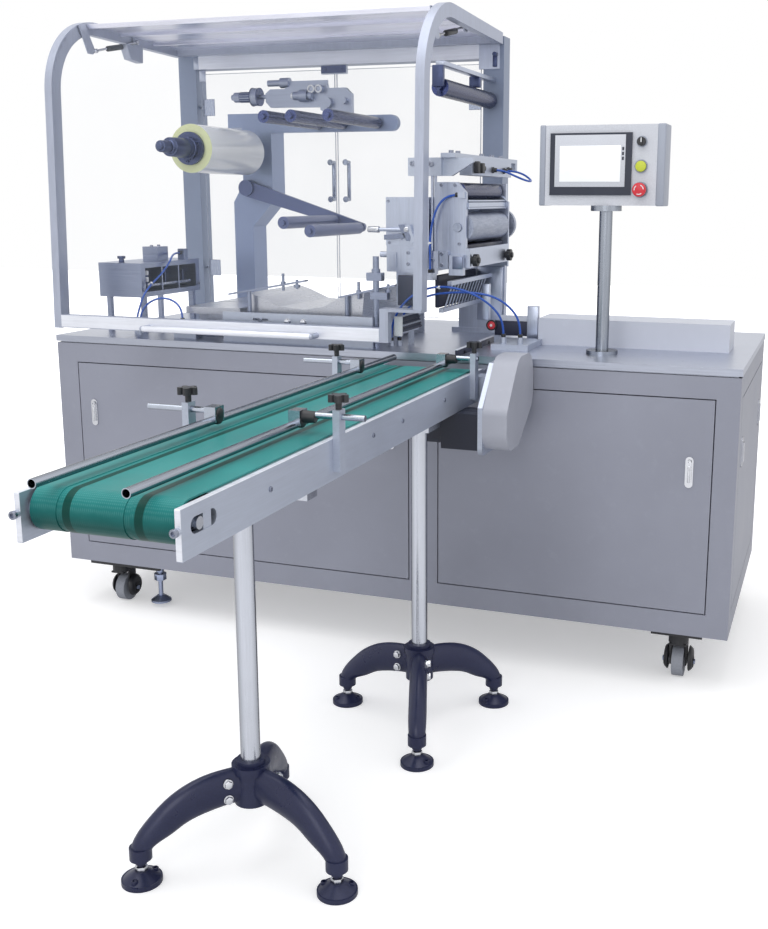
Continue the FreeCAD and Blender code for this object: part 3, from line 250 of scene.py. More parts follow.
sprayed = makeSpeckleGroup()
brushed = makeBrushedGroup()
grained = makeGrainGroup()
print("shader groups ready")


def rangeNode(tree, value, low, high, start=0.3, end=0.7):
    node = tree.nodes.new("ShaderNodeMapRange")
    tree.links.new(value, node.inputs["Value"])
    node.inputs["From Min"].default_value = start
    node.inputs["From Max"].default_value = end
    node.inputs["To Min"].default_value = low
    node.inputs["To Max"].default_value = high
    return node.outputs["Result"]


def mixNode(tree, factor, a, b):
    node = tree.nodes.new("ShaderNodeMix")
    node.data_type = "RGBA"
    if isinstance(factor, (int, float)):
        node.inputs[0].default_value = factor
    else:
        tree.links.new(factor, node.inputs[0])
    for socket, value in ((node.inputs[6], a), (node.inputs[7], b)):
        if isinstance(value, tuple):
            socket.default_value = value
        else:
            tree.links.new(value, socket)
    return node.outputs[2]


def shade(colour, factor):
    return (colour[0] * factor, colour[1] * factor, colour[2] * factor, 1.0)


def startMaterial(name, group, values):
    material = bpy.data.materials.new(name)
    material.use_nodes = True
    tree = material.node_tree
    shader = tree.nodes["Principled BSDF"]
    place = tree.nodes.new("ShaderNodeTexCoord")
    pattern = tree.nodes.new("ShaderNodeGroup")
    pattern.node_tree = group
    tree.links.new(place.outputs["Object"], pattern.inputs["Vector"])
    for label, value in values.items():
        pattern.inputs[label].default_value = value
    return material, tree, shader, place, pattern


def addBump(tree, shader, height, strength, distance):
    bump = tree.nodes.new("ShaderNodeBump")
    bump.inputs["Strength"].default_value = strength
    bump.inputs["Distance"].default_value = distance
    tree.links.new(height, bump.inputs["Height"])
    tree.links.new(bump.outputs["Normal"], shader.inputs["Normal"])


def enamel(name, colour, rough=0.42, metal=0.35, cloud=2.5, peel=420.0, spread=0.07):
    material, tree, shader, place, pattern = startMaterial(
        name, sprayed, {"Cloud Scale": cloud, "Peel Scale": peel, "Scuff Scale": 26.0})
    tint = mixNode(tree, rangeNode(tree, pattern.outputs["Tone"], 0, 1),
                   shade(colour, 1 - spread), shade(colour, 1 + spread))
    worn = mixNode(tree, mathNode(tree, "MULTIPLY", pattern.outputs["Scuff"], 0.16), tint, shade(colour, 1.35))
    tree.links.new(worn, shader.inputs["Base Color"])
    tree.links.new(rangeNode(tree, pattern.outputs["Tone"], rough - 0.05, rough + 0.07), shader.inputs["Roughness"])
    shader.inputs["Metallic"].default_value = metal
    addBump(tree, shader, pattern.outputs["Height"], 0.12, 0.0004)
    return material


def paintRimReflection(tree, colour, rim):
    # painted reflection: the base colour is darkened towards the outline, standing in for polished round stock
    # mirroring a dim room
    facing = tree.nodes.new("ShaderNodeLayerWeight")
    facing.inputs["Blend"].default_value = 0.5
    keep = rangeNode(tree, facing.outputs["Facing"], 1, rim, 0.18, 0.86)
    scale = tree.nodes.new("ShaderNodeVectorMath")
    scale.operation = "SCALE"
    tree.links.new(colour, scale.inputs[0])
    tree.links.new(keep, scale.inputs["Scale"])
    return scale.outputs["Vector"]


def drawnMetal(name, colour, rough=0.3, stretch=(2.0, 160.0, 160.0), spread=0.12, metal=1.0, bump=0.1, rim=None):
    material, tree, shader, place, pattern = startMaterial(
        name, brushed, {"Stretch": stretch, "Smear Scale": 6.0})
    tint = mixNode(tree, rangeNode(tree, pattern.outputs["Tone"], 0, 1, 0.35, 0.65),
                   shade(colour, 1 - spread), shade(colour, 1 + spread * 0.6))
    handled = mixNode(tree, rangeNode(tree, pattern.outputs["Smear"], 0, 0.22, 0.5, 0.75), tint, shade(colour, 0.72))
    # painted reflection: rim sets how dark the base colour gets towards the outline
    if rim:
        handled = paintRimReflection(tree, handled, rim)
    tree.links.new(handled, shader.inputs["Base Color"])
    tree.links.new(rangeNode(tree, pattern.outputs["Tone"], rough - 0.06, rough + 0.1), shader.inputs["Roughness"])
    shader.inputs["Metallic"].default_value = metal
    addBump(tree, shader, pattern.outputs["Height"], bump, 0.0003)
    return material


def skin(name, colour, rough=0.55, grain=260.0, dust=0.18, bump=0.25, metal=0.0, dustColour=None):
    material, tree, shader, place, pattern = startMaterial(
        name, grained, {"Grain Scale": grain, "Dust Scale": 8.0})
    tint = mixNode(tree, rangeNode(tree, pattern.outputs["Tone"], 0, 1), shade(colour, 0.86), shade(colour, 1.16))
    dusty = mixNode(tree, rangeNode(tree, pattern.outputs["Dust"], 0, dust, 0.48, 0.72), tint,
                    dustColour or tone(150, 150, 150))
    tree.links.new(dusty, shader.inputs["Base Color"])
    tree.links.new(rangeNode(tree, pattern.outputs["Dust"], rough - 0.08, rough + 0.14), shader.inputs["Roughness"])
    shader.inputs["Metallic"].default_value = metal
    addBump(tree, shader, pattern.outputs["Height"], bump, 0.0005)
    return material


def clearSheet(name, tint, cover, rough=0.08):
    material, tree, shader, place, pattern = startMaterial(
        name, brushed, {"Stretch": (9.0, 9.0, 30.0), "Smear Scale": 3.0})
    tree.links.new(mixNode(tree, pattern.outputs["Tone"], tint, shade(tint, 1.1)), shader.inputs["Base Color"])
    tree.links.new(rangeNode(tree, pattern.outputs["Smear"], rough, rough + 0.1), shader.inputs["Roughness"])
    tree.links.new(rangeNode(tree, pattern.outputs["Smear"], cover * 0.7, cover * 1.4), shader.inputs["Alpha"])
    addBump(tree, shader, pattern.outputs["Height"], 0.02, 0.0002)
    return material


finishes = {
    "cabinetPaint": enamel("cabinetPaint", tone(146, 149, 163), 0.4, 0.25),
    "postPaint": enamel("postPaint", tone(132, 143, 166), 0.38, 0.35, 3.5),
    "columnPaint": enamel("columnPaint", tone(146, 159, 190), 0.36, 0.4, 4.0),
    "armPaint": enamel("armPaint", tone(92, 102, 140), 0.34, 0.45, 5.0),
    "coverPaint": enamel("coverPaint", tone(202, 206, 218), 0.42, 0.3, 3.0),
    "capGrey": enamel("capGrey", tone(158, 164, 178), 0.44, 0.15, 4.0),
    "tableSteel": drawnMetal("tableSteel", tone(184, 189, 203), 0.3, (2.0, 120.0, 120.0), 0.1),
    "plateSteel": drawnMetal("plateSteel", tone(160, 167, 186), 0.32, (3.0, 90.0, 140.0)),
    "uprightSteel": drawnMetal("uprightSteel", tone(186, 193, 210), 0.32, (120.0, 120.0, 3.0)),
    "depthSteel": drawnMetal("depthSteel", tone(204, 206, 214), 0.28, (140.0, 3.0, 140.0)),
    "turnedSteel": drawnMetal("turnedSteel", tone(210, 214, 224), 0.2, (160.0, 160.0, 4.0), 0.08, rim=0.3),
    "postSteel": drawnMetal("postSteel", tone(166, 172, 183), 0.22, (160.0, 160.0, 4.0), 0.1, rim=0.24),
    "railSteel": drawnMetal("railSteel", tone(196, 203, 216), 0.2, (160.0, 4.0, 160.0), 0.12, rim=0.12),
    "footSteel": drawnMetal("footSteel", tone(177, 188, 216), 0.3, (60.0, 60.0, 60.0), 0.16, rim=0.5),
    "barSteel": drawnMetal("barSteel", tone(196, 198, 204), 0.2, (160.0, 4.0, 160.0), 0.1),
    "guardAlloy": drawnMetal("guardAlloy", tone(177, 183, 200), 0.42, (60.0, 60.0, 4.0), 0.1, 0.6),
    "plateAlloy": drawnMetal("plateAlloy", tone(186, 193, 208), 0.4, (60.0, 3.0, 120.0), 0.08, 0.75),
    "bedSteel": drawnMetal("bedSteel", tone(150, 158, 180), 0.3, (3.0, 90.0, 140.0), 0.14),
    "boltSteel": drawnMetal("boltSteel", tone(150, 155, 170), 0.26, (60.0, 60.0, 60.0), 0.1),
    "roofSteel": drawnMetal("roofSteel", tone(234, 235, 248), 0.28, (0.6, 9.0, 9.0), 0.14),
    "beamSteel": drawnMetal("beamSteel", tone(238, 241, 250), 0.34, (3.0, 60.0, 60.0), 0.08, 0.55),
    "handleSteel": drawnMetal("handleSteel", tone(172, 180, 200), 0.24, (60.0, 60.0, 6.0), 0.1, rim=0.5),
    "darkPlate": drawnMetal("darkPlate", tone(132, 140, 162), 0.34, (60.0, 60.0, 60.0), 0.14),
    "springDark": drawnMetal("springDark", tone(70, 74, 88), 0.34, (90.0, 90.0, 90.0), 0.2, 0.8),
    "chrome": drawnMetal("chrome", tone(226, 228, 234), 0.12, (60.0, 60.0, 60.0), 0.05, rim=0.3),
    "darkAlloy": drawnMetal("darkAlloy", tone(80, 89, 122), 0.3, (140.0, 4.0, 140.0), 0.2, 0.85),
    "rollerDark": drawnMetal("rollerDark", tone(76, 86, 134), 0.24, (60.0, 3.0, 60.0), 0.12, 0.75, rim=0.3),
    "castNavy": skin("castNavy", tone(30, 35, 68), 0.3, 330.0, 0.06, 0.22, 0.15, tone(96, 106, 140)),
    "rubberBlack": skin("rubberBlack", tone(44, 44, 48), 0.62, 420.0, 0.3, 0.3),
    "plasticBlack": skin("plasticBlack", tone(34, 35, 40), 0.4, 520.0, 0.12, 0.16),
    "plasticPale": skin("plasticPale", tone(205, 208, 217), 0.42, 640.0, 0.08, 0.1, 0.0, tone(160, 160, 165)),
    "nylonWhite": skin("nylonWhite", tone(232, 234, 238), 0.46, 500.0, 0.1, 0.08, 0.0, tone(190, 190, 196)),
    "hoseBlue": skin("hoseBlue", tone(38, 84, 176), 0.26, 700.0, 0.06, 0.05, 0.0, tone(120, 150, 210)),
    # shadeNavy: dark navy for the painted-shade blocks in the feed unit, also used for the far belt guide
    "shadeNavy": skin("shadeNavy", tone(36, 40, 62), 0.42, 420.0, 0.1, 0.14, 0.2, tone(80, 86, 110)),
    "bezelDark": skin("bezelDark", tone(34, 40, 58), 0.34, 700.0, 0.04, 0.08),
    "motorBlack": skin("motorBlack", tone(26, 30, 46), 0.45, 420.0, 0.08, 0.2, 0.0, tone(70, 76, 92)),
    "wheelGrey": skin("wheelGrey", tone(146, 150, 160), 0.5, 420.0, 0.3, 0.2, 0.0, tone(176, 180, 188)),
    "guardPaint": enamel("guardPaint", tone(166, 169, 181), 0.46, 0.1, 4.0, 420.0, 0.08),
    "buttonRed": skin("buttonRed", tone(208, 44, 58), 0.3, 600.0, 0.05, 0.06, 0.0, tone(230, 120, 120)),
    "buttonLime": skin("buttonLime", tone(196, 206, 60), 0.32, 600.0, 0.05, 0.06, 0.0, tone(230, 230, 160)),
    "acrylic": clearSheet("acrylic", tone(206, 216, 232), 0.028),
    "doorAcrylic": clearSheet("doorAcrylic", tone(214, 222, 236), 0.05),
    "sawnEdge": clearSheet("sawnEdge", tone(176, 184, 204), 0.5, 0.3),
}


# stripes are the belt's dark stripes; turn is the height range of the painted shade on the run round the end drum
beltLook = {"stripes": (1140, 1267), "half": 0.008, "turn": (0.822, 0.776)}


def makeBeltFinish():
    # woven-faced belt cover: fine cross ribs, dark rubbed grooves
    material, tree, shader, place, pattern = startMaterial(
        "beltCover", grained, {"Grain Scale": 300.0, "Dust Scale": 5.0})
    weave = tree.nodes.new("ShaderNodeTexWave")
    weave.wave_type = "BANDS"
    weave.bands_direction = "Y"
    weave.inputs["Scale"].default_value = 90.0
    weave.inputs["Distortion"].default_value = 1.2
    cross = tree.nodes.new("ShaderNodeTexWave")
    cross.wave_type = "BANDS"
    cross.bands_direction = "X"
    cross.inputs["Scale"].default_value = 90.0
    cross.inputs["Distortion"].default_value = 1.2
    for node in (weave, cross):
        tree.links.new(place.outputs["Object"], node.inputs["Vector"])
    both = mathNode(tree, "MULTIPLY", weave.outputs["Fac"], cross.outputs["Fac"])
    base = mixNode(tree, rangeNode(tree, pattern.outputs["Dust"], 0, 1, 0.35, 0.65),
                   tone(34, 126, 124), tone(52, 144, 142))
    face = mixNode(tree, mathNode(tree, "MULTIPLY", both, 0.3), base, tone(112, 182, 180))
    split = tree.nodes.new("ShaderNodeSeparateXYZ")
    tree.links.new(place.outputs["Object"], split.inputs["Vector"])
    for middle in beltLook["stripes"]:
        off = mathNode(tree, "ABSOLUTE", mathNode(tree, "SUBTRACT", split.outputs["X"], spot(middle, 0, 0).x), 0)
        face = mixNode(tree, rangeNode(tree, off, 0.9, 0, beltLook["half"] * 0.85, beltLook["half"]), face,
                       tone(2, 60, 50))
    # painted shade: the run round the end drum is darkened below the top face
    face = mixNode(tree, rangeNode(tree, split.outputs["Z"], 0, 0.8, *beltLook["turn"]), face, tone(8, 54, 50))
    tree.links.new(face, shader.inputs["Base Color"])
    tree.links.new(rangeNode(tree, pattern.outputs["Dust"], 0.32, 0.5), shader.inputs["Roughness"])
    shader.inputs["Specular IOR Level"].default_value = 0.14
    addBump(tree, shader, mathNode(tree, "ADD", both, pattern.outputs["Height"]), 0.2, 0.0003)
    return material


def makeFilmFinish():
    # wound film: milky clear layers, yellow-green where the edges stack up
    material, tree, shader, place, pattern = startMaterial(
        "woundFilm", brushed, {"Stretch": (60.0, 2.0, 60.0), "Smear Scale": 7.0})
    rings = tree.nodes.new("ShaderNodeTexWave")
    rings.wave_type = "RINGS"
    rings.rings_direction = "Y"
    rings.inputs["Scale"].default_value = 120.0
    rings.inputs["Distortion"].default_value = 0.6
    centre = tree.nodes.new("ShaderNodeMapping")
    reel = spot(365, 360, 1397)
    centre.inputs["Location"].default_value = (-reel.x, -reel.y, -reel.z)
    tree.links.new(place.outputs["Object"], centre.inputs["Vector"])
    tree.links.new(centre.outputs["Vector"], rings.inputs["Vector"])
    layers = mixNode(tree, rings.outputs["Fac"], tone(240, 242, 244), tone(251, 252, 252))
    cloudy = mixNode(tree, rangeNode(tree, pattern.outputs["Smear"], 0, 0.6, 0.4, 0.7), layers, tone(226, 230, 233))
    tree.links.new(cloudy, shader.inputs["Base Color"])
    tree.links.new(rangeNode(tree, pattern.outputs["Tone"], 0.16, 0.3), shader.inputs["Roughness"])
    shader.inputs["Coat Weight"].default_value = 0.6
    shader.inputs["Coat Roughness"].default_value = 0.08
    addBump(tree, shader, pattern.outputs["Height"], 0.05, 0.0003)
    return material


def makeFilmEdgeFinish():
    # end face of the roll: stacked film edges
    material, tree, shader, place, pattern = startMaterial(
        "filmEdge", grained, {"Grain Scale": 300.0, "Dust Scale": 20.0})
    rings = tree.nodes.new("ShaderNodeTexWave")
    rings.wave_type = "RINGS"
    rings.rings_direction = "Y"
    rings.inputs["Scale"].default_value = 90.0
    rings.inputs["Distortion"].default_value = 0.8
    centre = tree.nodes.new("ShaderNodeMapping")
    reel = spot(365, 360, 1397)
    centre.inputs["Location"].default_value = (-reel.x, -reel.y, -reel.z)
    tree.links.new(place.outputs["Object"], centre.inputs["Vector"])
    tree.links.new(centre.outputs["Vector"], rings.inputs["Vector"])
    tree.links.new(mixNode(tree, rings.outputs["Fac"], tone(190, 198, 140), tone(228, 232, 196)),
                   shader.inputs["Base Color"])
    tree.links.new(rangeNode(tree, pattern.outputs["Tone"], 0.3, 0.5), shader.inputs["Roughness"])
    addBump(tree, shader, rings.outputs["Fac"], 0.3, 0.0003)
    return material


def makeKnurlFinish():
    # silver feed roller with a fine crossed knurl and rubbed bands
    material, tree, shader, place, pattern = startMaterial(
        "knurledRoller", brushed, {"Stretch": (30.0, 5.0, 30.0), "Smear Scale": 14.0})
    ribs = []
    for direction in ("X", "Y", "Z"):
        wave = tree.nodes.new("ShaderNodeTexWave")
        wave.wave_type = "BANDS"
        wave.bands_direction = direction
        wave.inputs["Scale"].default_value = 130.0
        tree.links.new(place.outputs["Object"], wave.inputs["Vector"])
        ribs.append(wave.outputs["Fac"])
    knurl = mathNode(tree, "MULTIPLY", ribs[1], mathNode(tree, "MAXIMUM", ribs[0], ribs[2]))
    base = mixNode(tree, rangeNode(tree, pattern.outputs["Tone"], 0, 1), tone(138, 146, 168), tone(188, 194, 208))
    tree.links.new(mixNode(tree, mathNode(tree, "MULTIPLY", knurl, 0.3), base, tone(104, 112, 136)),
                   shader.inputs["Base Color"])
    tree.links.new(rangeNode(tree, pattern.outputs["Smear"], 0.34, 0.5), shader.inputs["Roughness"])
    shader.inputs["Metallic"].default_value = 0.8
    addBump(tree, shader, knurl, 0.35, 0.0004)
    return material


def makeScreenFinish():
    # blank touch panel behind glass
    material, tree, shader, place, pattern = startMaterial(
        "screenGlass", grained, {"Grain Scale": 900.0, "Dust Scale": 12.0})
    tree.links.new(mixNode(tree, rangeNode(tree, pattern.outputs["Dust"], 0, 1), tone(236, 238, 240),
                           tone(246, 247, 248)), shader.inputs["Base Color"])
    tree.links.new(rangeNode(tree, pattern.outputs["Dust"], 0.12, 0.24), shader.inputs["Roughness"])
    shader.inputs["Coat Weight"].default_value = 0.5
    shader.inputs["Emission Color"].default_value = (0.96, 0.98, 1.0, 1.0)
    shader.inputs["Emission Strength"].default_value = 0.2
    return material


finishes["beltCover"] = makeBeltFinish()
finishes["woundFilm"] = makeFilmFinish()
finishes["filmEdge"] = makeFilmEdgeFinish()
finishes["knurled"] = makeKnurlFinish()
finishes["screenGlass"] = makeScreenFinish()
for hose in hoses:
    hose.data.materials.append(finishes["hoseBlue"])
print("finishes made:", len(finishes))


nodeFinishes = {
    "cabinet_shell": "cabinetPaint", "cabinet_base": "cabinetPaint", "front_access_panels": "cabinetPaint",
    "end_access_panels": "cabinetPaint", "panel_latches": "chrome", "table_top": "tableSteel",
    "caster_mounts": "plasticBlack", "caster_wheels": "wheelGrey", "levelling_feet": "footSteel",
    "conveyor_side_plates": "plateAlloy", "conveyor_bed": "depthSteel", "conveyor_belt": "beltCover",
    "conveyor_rollers": "turnedSteel", "drive_motor": "motorBlack", "drive_mount": "plateAlloy",
    "drive_guard": "guardPaint", "tripod_bases": "castNavy", "tripod_feet": "castNavy",
    "stand_poles": "turnedSteel", "rail_clamps": "plateAlloy", "clamp_knobs": "plasticBlack",
    "guide_rail_left": "railSteel", "guide_rail_right": "railSteel", "rear_frame": "postPaint",
    "guard_fittings": "plateAlloy", "hood_frame": "guardAlloy", "hood_sheet": "acrylic",
    "rear_door_left": "doorAcrylic", "rear_door_right": "doorAcrylic", "film_column": "columnPaint",
    "upper_idlers": "rollerDark", "tension_unit": "plateSteel", "film_roll": "woundFilm",
    "reel_chuck": "darkAlloy", "dancer_arm": "armPaint", "feed_frame": "uprightSteel",
    "feed_cross_bars": "uprightSteel", "press_drum": "rollerDark", "feed_roller": "knurled",
    "gear_block": "uprightSteel", "top_bar": "plateAlloy", "valve_block": "plateAlloy",
    "top_guide_roller": "rollerDark", "bed_rails": "plateAlloy", "hot_plates": "depthSteel",
    "film_chute": "depthSteel", "discharge_heater": "bedSteel", "adjusting_rods": "bedSteel",
    "infeed_comb": "plateAlloy", "pusher_cover": "coverPaint", "control_post": "postSteel",
    "control_box": "plasticPale", "control_screen": "bezelDark", "control_buttons": "plasticBlack",
}
for label, finish in nodeFinishes.items():
    mesh = nodes[label].data
    mesh.materials.clear()
    mesh.materials.append(finishes[finish])
print("nodes finished:", len(nodeFinishes))


# small parts are shaped at the origin in metres, then dropped into a piece at machine millimetres

def bevelEdges(sub, edges, round, steps=2):
    bmesh.ops.bevel(sub, geom=edges, offset=round / 1000, offset_type="OFFSET", affect="EDGES",
                    segments=steps, profile=0.5, material=-1, clamp_overlap=True)


def drop(bm, sub, place, axis=None, spin=0.0):
    turn = Matrix.Rotation(spin, 4, "Z")
    if axis:
        turn = Vector(axis).to_track_quat("Z", "Y").to_matrix().to_4x4() @ turn
    sub.transform(Matrix.Translation(spot(*place)) @ turn)
    scratch = bpy.data.meshes.new("scratch")
    sub.to_mesh(scratch)
    sub.free()
    bm.from_mesh(scratch)
    bpy.data.meshes.remove(scratch)


def rodShape(radius, length, sides=20, tip=None, round=0.0):
    sub = bmesh.new()
    bmesh.ops.create_cone(sub, cap_ends=True, segments=sides, radius1=radius / 1000,
                          radius2=(radius if tip is None else tip) / 1000, depth=length / 1000)
    bmesh.ops.translate(sub, vec=(0, 0, length / 2000), verts=sub.verts)
    if round:
        bevelEdges(sub, [e for e in sub.edges if any(len(f.verts) > 4 for f in e.link_faces)], round)
    return sub


def screwShape(radius, height):
    # socket head: bevelled rim and a sunk middle
    sub = rodShape(radius, height, 14)
    top = max(sub.faces, key=lambda f: f.calc_center_median().z)
    rim = list(top.edges)
    bmesh.ops.inset_region(sub, faces=[top], thickness=radius * 0.45 / 1000, use_even_offset=True)
    well = bmesh.ops.extrude_discrete_faces(sub, faces=[top])["faces"][0]
    bmesh.ops.translate(sub, vec=(0, 0, -height * 0.6 / 1000), verts=well.verts)
    bevelEdges(sub, rim, radius * 0.12, 1)
    return sub


def hexShape(across, height):
    return rodShape(across / 1.732, height, 6, None, min(across, height) * 0.06)


def knobShape(radius, length, sides=24):
    # gripped rim: every second flank is sunk
    sub = rodShape(radius, length, sides, None, radius * 0.06)
    flanks = [f for f in sub.faces if abs(f.normal.z) < 0.1][::2]
    for face in flanks:
        well = bmesh.ops.extrude_discrete_faces(sub, faces=[face])["faces"][0]
        bmesh.ops.translate(sub, vec=-well.normal * radius * 0.07 / 1000, verts=well.verts)
    return sub


def ringShape(inner, outer, length, sides=32):
    sub = bmesh.new()
    spots = [(inner, 0), (outer, 0), (outer, length), (inner, length)]
    loop = [sub.verts.new((r / 1000, 0, z / 1000)) for r, z in spots]
    edges = [sub.edges.new((loop[i], loop[(i + 1) % 4])) for i in range(4)]
    bmesh.ops.spin(sub, geom=loop + edges, cent=(0, 0, 0), axis=(0, 0, 1), angle=math.tau, steps=sides,
                   use_merge=True)
    bmesh.ops.remove_doubles(sub, verts=sub.verts, dist=0.00001)
    bmesh.ops.recalc_face_normals(sub, faces=sub.faces)
    return sub


def addBlock(bm, low, high, round=0.0, steps=2):
    sub = bmesh.new()
    bmesh.ops.create_cube(sub, size=1)
    a, b = spot(*low), spot(*high)
    bmesh.ops.scale(sub, vec=b - a, verts=sub.verts)
    if round:
        bevelEdges(sub, list(sub.edges), round, steps)
    middle = [(p + q) / 2 for p, q in zip(low, high)]
    drop(bm, sub, middle)


def addBar(bm, start, end, radius, sides=16, tip=None, round=0.0):
    run = Vector(end) - Vector(start)
    drop(bm, rodShape(radius, run.length, sides, tip, round), start, run)


def addPlate(bm, points, thick, axis):
    # flat plate from an outline in machine millimetres, thickened along the axis
    sub = bmesh.new()
    face = sub.faces.new([sub.verts.new(spot(*p)) for p in points])
    made = bmesh.ops.extrude_face_region(sub, geom=[face])["geom"]
    moved = [v for v in made if isinstance(v, bmesh.types.BMVert)]
    bmesh.ops.translate(sub, vec=Vector(axis) * thick / 1000, verts=moved)
    bmesh.ops.recalc_face_normals(sub, faces=sub.faces)
    bevelEdges(sub, list(sub.edges), min(0.5, thick * 0.2), 1)
    drop(bm, sub, (1000, -339, 0))


def makePiece(name, bm, finish, body="machine", sharp=34):
    mesh = bpy.data.meshes.new(name)
    bm.to_mesh(mesh)
    bm.free()
    mesh.shade_smooth()
    mesh.set_sharp_from_angle(angle=math.radians(sharp))
    mesh.materials.append(finishes[finish])
    piece = bpy.data.objects.new(name, mesh)
    bpy.context.scene.collection.objects.link(piece)
    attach(piece, body)
    return piece


front = (0, -1, 0)
back = (0, 1, 0)
left = (-1, 0, 0)
right = (1, 0, 0)
up = (0, 0, 1)
down = (0, 0, -1)


# socket screws on the feed unit, top bar, bed rail and conveyor ends

screwSizes = {
    "lug": [(1099, 118, 1347), (1152, 118, 1345)],
    "lugHead": (7.5, 5),
    "gearFace": [(1019, 137, 1247), (1131, 137, 1247), (1022, 137, 1134)],
    "gearHead": (4, 3),
    "sideBlock": [(1083, 123, 1108), (1083, 123, 1078), (1156, 121, 1090), (1182, 119, 1107), (1182, 119, 1077)],
    "sideHead": (5, 4),
    "plateFace": [(1227, 135, 1134), (1175, 135, 1290), (1214, 135, 1290)],
    "plateHead": (4.5, 4),
    "barTop": [(1198, 148, 1374), (1198, 205, 1374), (1198, 420, 1374), (1198, 520, 1374), (1198, 610, 1374)],
    "barHead": (7, 8),
    "rail": [(666, 40, 916.5), (666, 40, 898.5), (956, 40, 899.5), (985, 40, 899.5)],
    "railHead": (6, 4),
    "conveyorEnd": [(1065, -1471, 789), (1343, -1471, 789)],
    "conveyorHead": (7, 6),
    "plateSide": [(1348, -1195, 786), (1348, -760, 790), (1348, -600, 790), (1348, -330, 790)],
    "plateSideHead": (5, 2.5),
}


def makeScrews():
    s = screwSizes
    bm = bmesh.new()
    for group, head in (("lug", "lugHead"), ("gearFace", "gearHead"), ("sideBlock", "sideHead"),
                        ("plateFace", "plateHead"), ("rail", "railHead"), ("conveyorEnd", "conveyorHead")):
        for place in s[group]:
            drop(bm, screwShape(*s[head]), place, front)
    for place in s["barTop"]:
        drop(bm, screwShape(*s["barHead"]), place, up)
    for place in s["plateSide"]:
        drop(bm, screwShape(*s["plateSideHead"]), place, right)
    makePiece("socket_screws", bm, "boltSteel")


railBolts = {"places": [(752, 40, 914), (801, 40, 914)], "across": 13, "height": 7, "washer": 9.5}


def makeRailBolts():
    s = railBolts
    bm = bmesh.new()
    for place in s["places"]:
        drop(bm, rodShape(s["washer"], 1.6, 20), place, front)
        drop(bm, hexShape(s["across"], s["height"]), (place[0], place[1] - 1.5, place[2]), front)
    makePiece("rail_bolts", bm, "chrome")


# control panel front

panelSizes = {
    "face": ((1490, 123.4, 1285), (1673, 125.2, 1415)),
    "screen": ((1503, 122.6, 1298), (1661, 124.2, 1388)),
    "keys": [(1667, 123, 1380), (1667, 123, 1368), (1667, 123, 1356)],
    "caps": [((1448, 129, 1237), (1464, 217, 1441)), ((1752, 129, 1237), (1773, 217, 1441))],
    "selector": (1713, 117, 1397),
    "start": (1713, 123, 1336),
    "stop": (1713, 107, 1278),
}


def makePanelFront():
    s = panelSizes
    bm = bmesh.new()
    addBlock(bm, *s["face"], 0.8)
    makePiece("panel_face", bm, "plasticPale")
    bm = bmesh.new()
    addBlock(bm, *s["screen"], 0.5)
    makePiece("touch_screen", bm, "screenGlass")
    bm = bmesh.new()
    for x, y, z in s["keys"]:
        addBlock(bm, (x - 2.5, y - 0.4, z - 4), (x + 2.5, y + 1, z + 4), 0.3, 1)
    makePiece("panel_keys", bm, "bezelDark")
    bm = bmesh.new()
    for low, high in s["caps"]:
        addBlock(bm, low, high, 3.5, 3)
    makePiece("box_end_caps", bm, "capGrey")


def makeButtons():
    s = panelSizes
    x, y, z = s["start"]
    bm = bmesh.new()
    drop(bm, ringShape(14, 17, 2.5), (x, 131, z), front)
    drop(bm, ringShape(14, 20, 2), (x, 131, s["stop"][2]), front)
    drop(bm, ringShape(10, 14, 2.5), (x, 131, s["selector"][2]), front)
    makePiece("button_rings", bm, "capGrey")
    bm = bmesh.new()
    drop(bm, rodShape(14.4, 7, 32, 13.2, 1.6), (x, y + 3.5, z), front)
    makePiece("start_button_cap", bm, "buttonLime")
    bm = bmesh.new()
    x, y, z = s["stop"]
    drop(bm, rodShape(17.6, 13, 36, 17.6, 3.0), (x, y + 11, z), front)
    makePiece("stop_button_cap", bm, "buttonRed")
    bm = bmesh.new()
    for turn in (0.5, 2.6, 4.7):
        for step in range(4):
            a = turn + step * 0.28
            sub = bmesh.new()
            bmesh.ops.create_cube(sub, size=1)
            bmesh.ops.scale(sub, vec=(0.0030, 0.0022, 0.0006), verts=sub.verts)
            drop(bm, sub, (x + 11.5 * math.sin(a), y - 2.1, z + 11.5 * math.cos(a)), front, -a)
    x, y, z = s["selector"]
    addBlock(bm, (x - 1.3, y - 3.2, z - 2), (x + 1.3, y - 0.5, z + 9), 0.4, 1)
    makePiece("button_marks", bm, "nylonWhite")
    bm = bmesh.new()
    addBlock(bm, (x - 3.2, y - 2.6, z - 10), (x + 3.2, y + 1, z + 10), 1.2)
    makePiece("selector_lever", bm, "plasticBlack")


# clear-film reel end

reelSizes = {"middle": 365, "height": 1397, "front": 200, "outer": 70.6, "inner": 39, "pins": 3, "pinRadius": 33,
             "chuck": [(176, 29, 92, 27), (84, 22, 6, 18), (79, 17.5, 42, 16.5), (38, 12, 8, 9)]}


def makeReelEnds():
    s = reelSizes
    bm = bmesh.new()
    drop(bm, ringShape(s["inner"], s["outer"], 1.2, 56), (s["middle"], s["front"] + 0.2, s["height"]), front)
    drop(bm, ringShape(s["inner"], s["outer"], 1.2, 56), (s["middle"], s["front"] + 319.8, s["height"]), back)
    makePiece("film_edges", bm, "filmEdge", "film_reel")
    bm = bmesh.new()
    for i in range(s["pins"]):
        a = math.tau * i / s["pins"] + 0.4
        x = s["middle"] + s["pinRadius"] * 1.15 * math.cos(a)
        z = s["height"] + s["pinRadius"] * 1.15 * math.sin(a)
        drop(bm, screwShape(4.5, 5), (x, s["front"] - 14, z), front)
    for start, radius, length, tip in s["chuck"]:
        drop(bm, rodShape(radius, length, 34, tip, 1.6), (s["middle"], start, s["height"]), front)
    drop(bm, knobShape(33, 12, 30), (s["middle"], s["front"] - 14, s["height"]), front)
    makePiece("chuck_details", bm, "darkAlloy", "film_reel")


# hose ends, ties and valve fittings

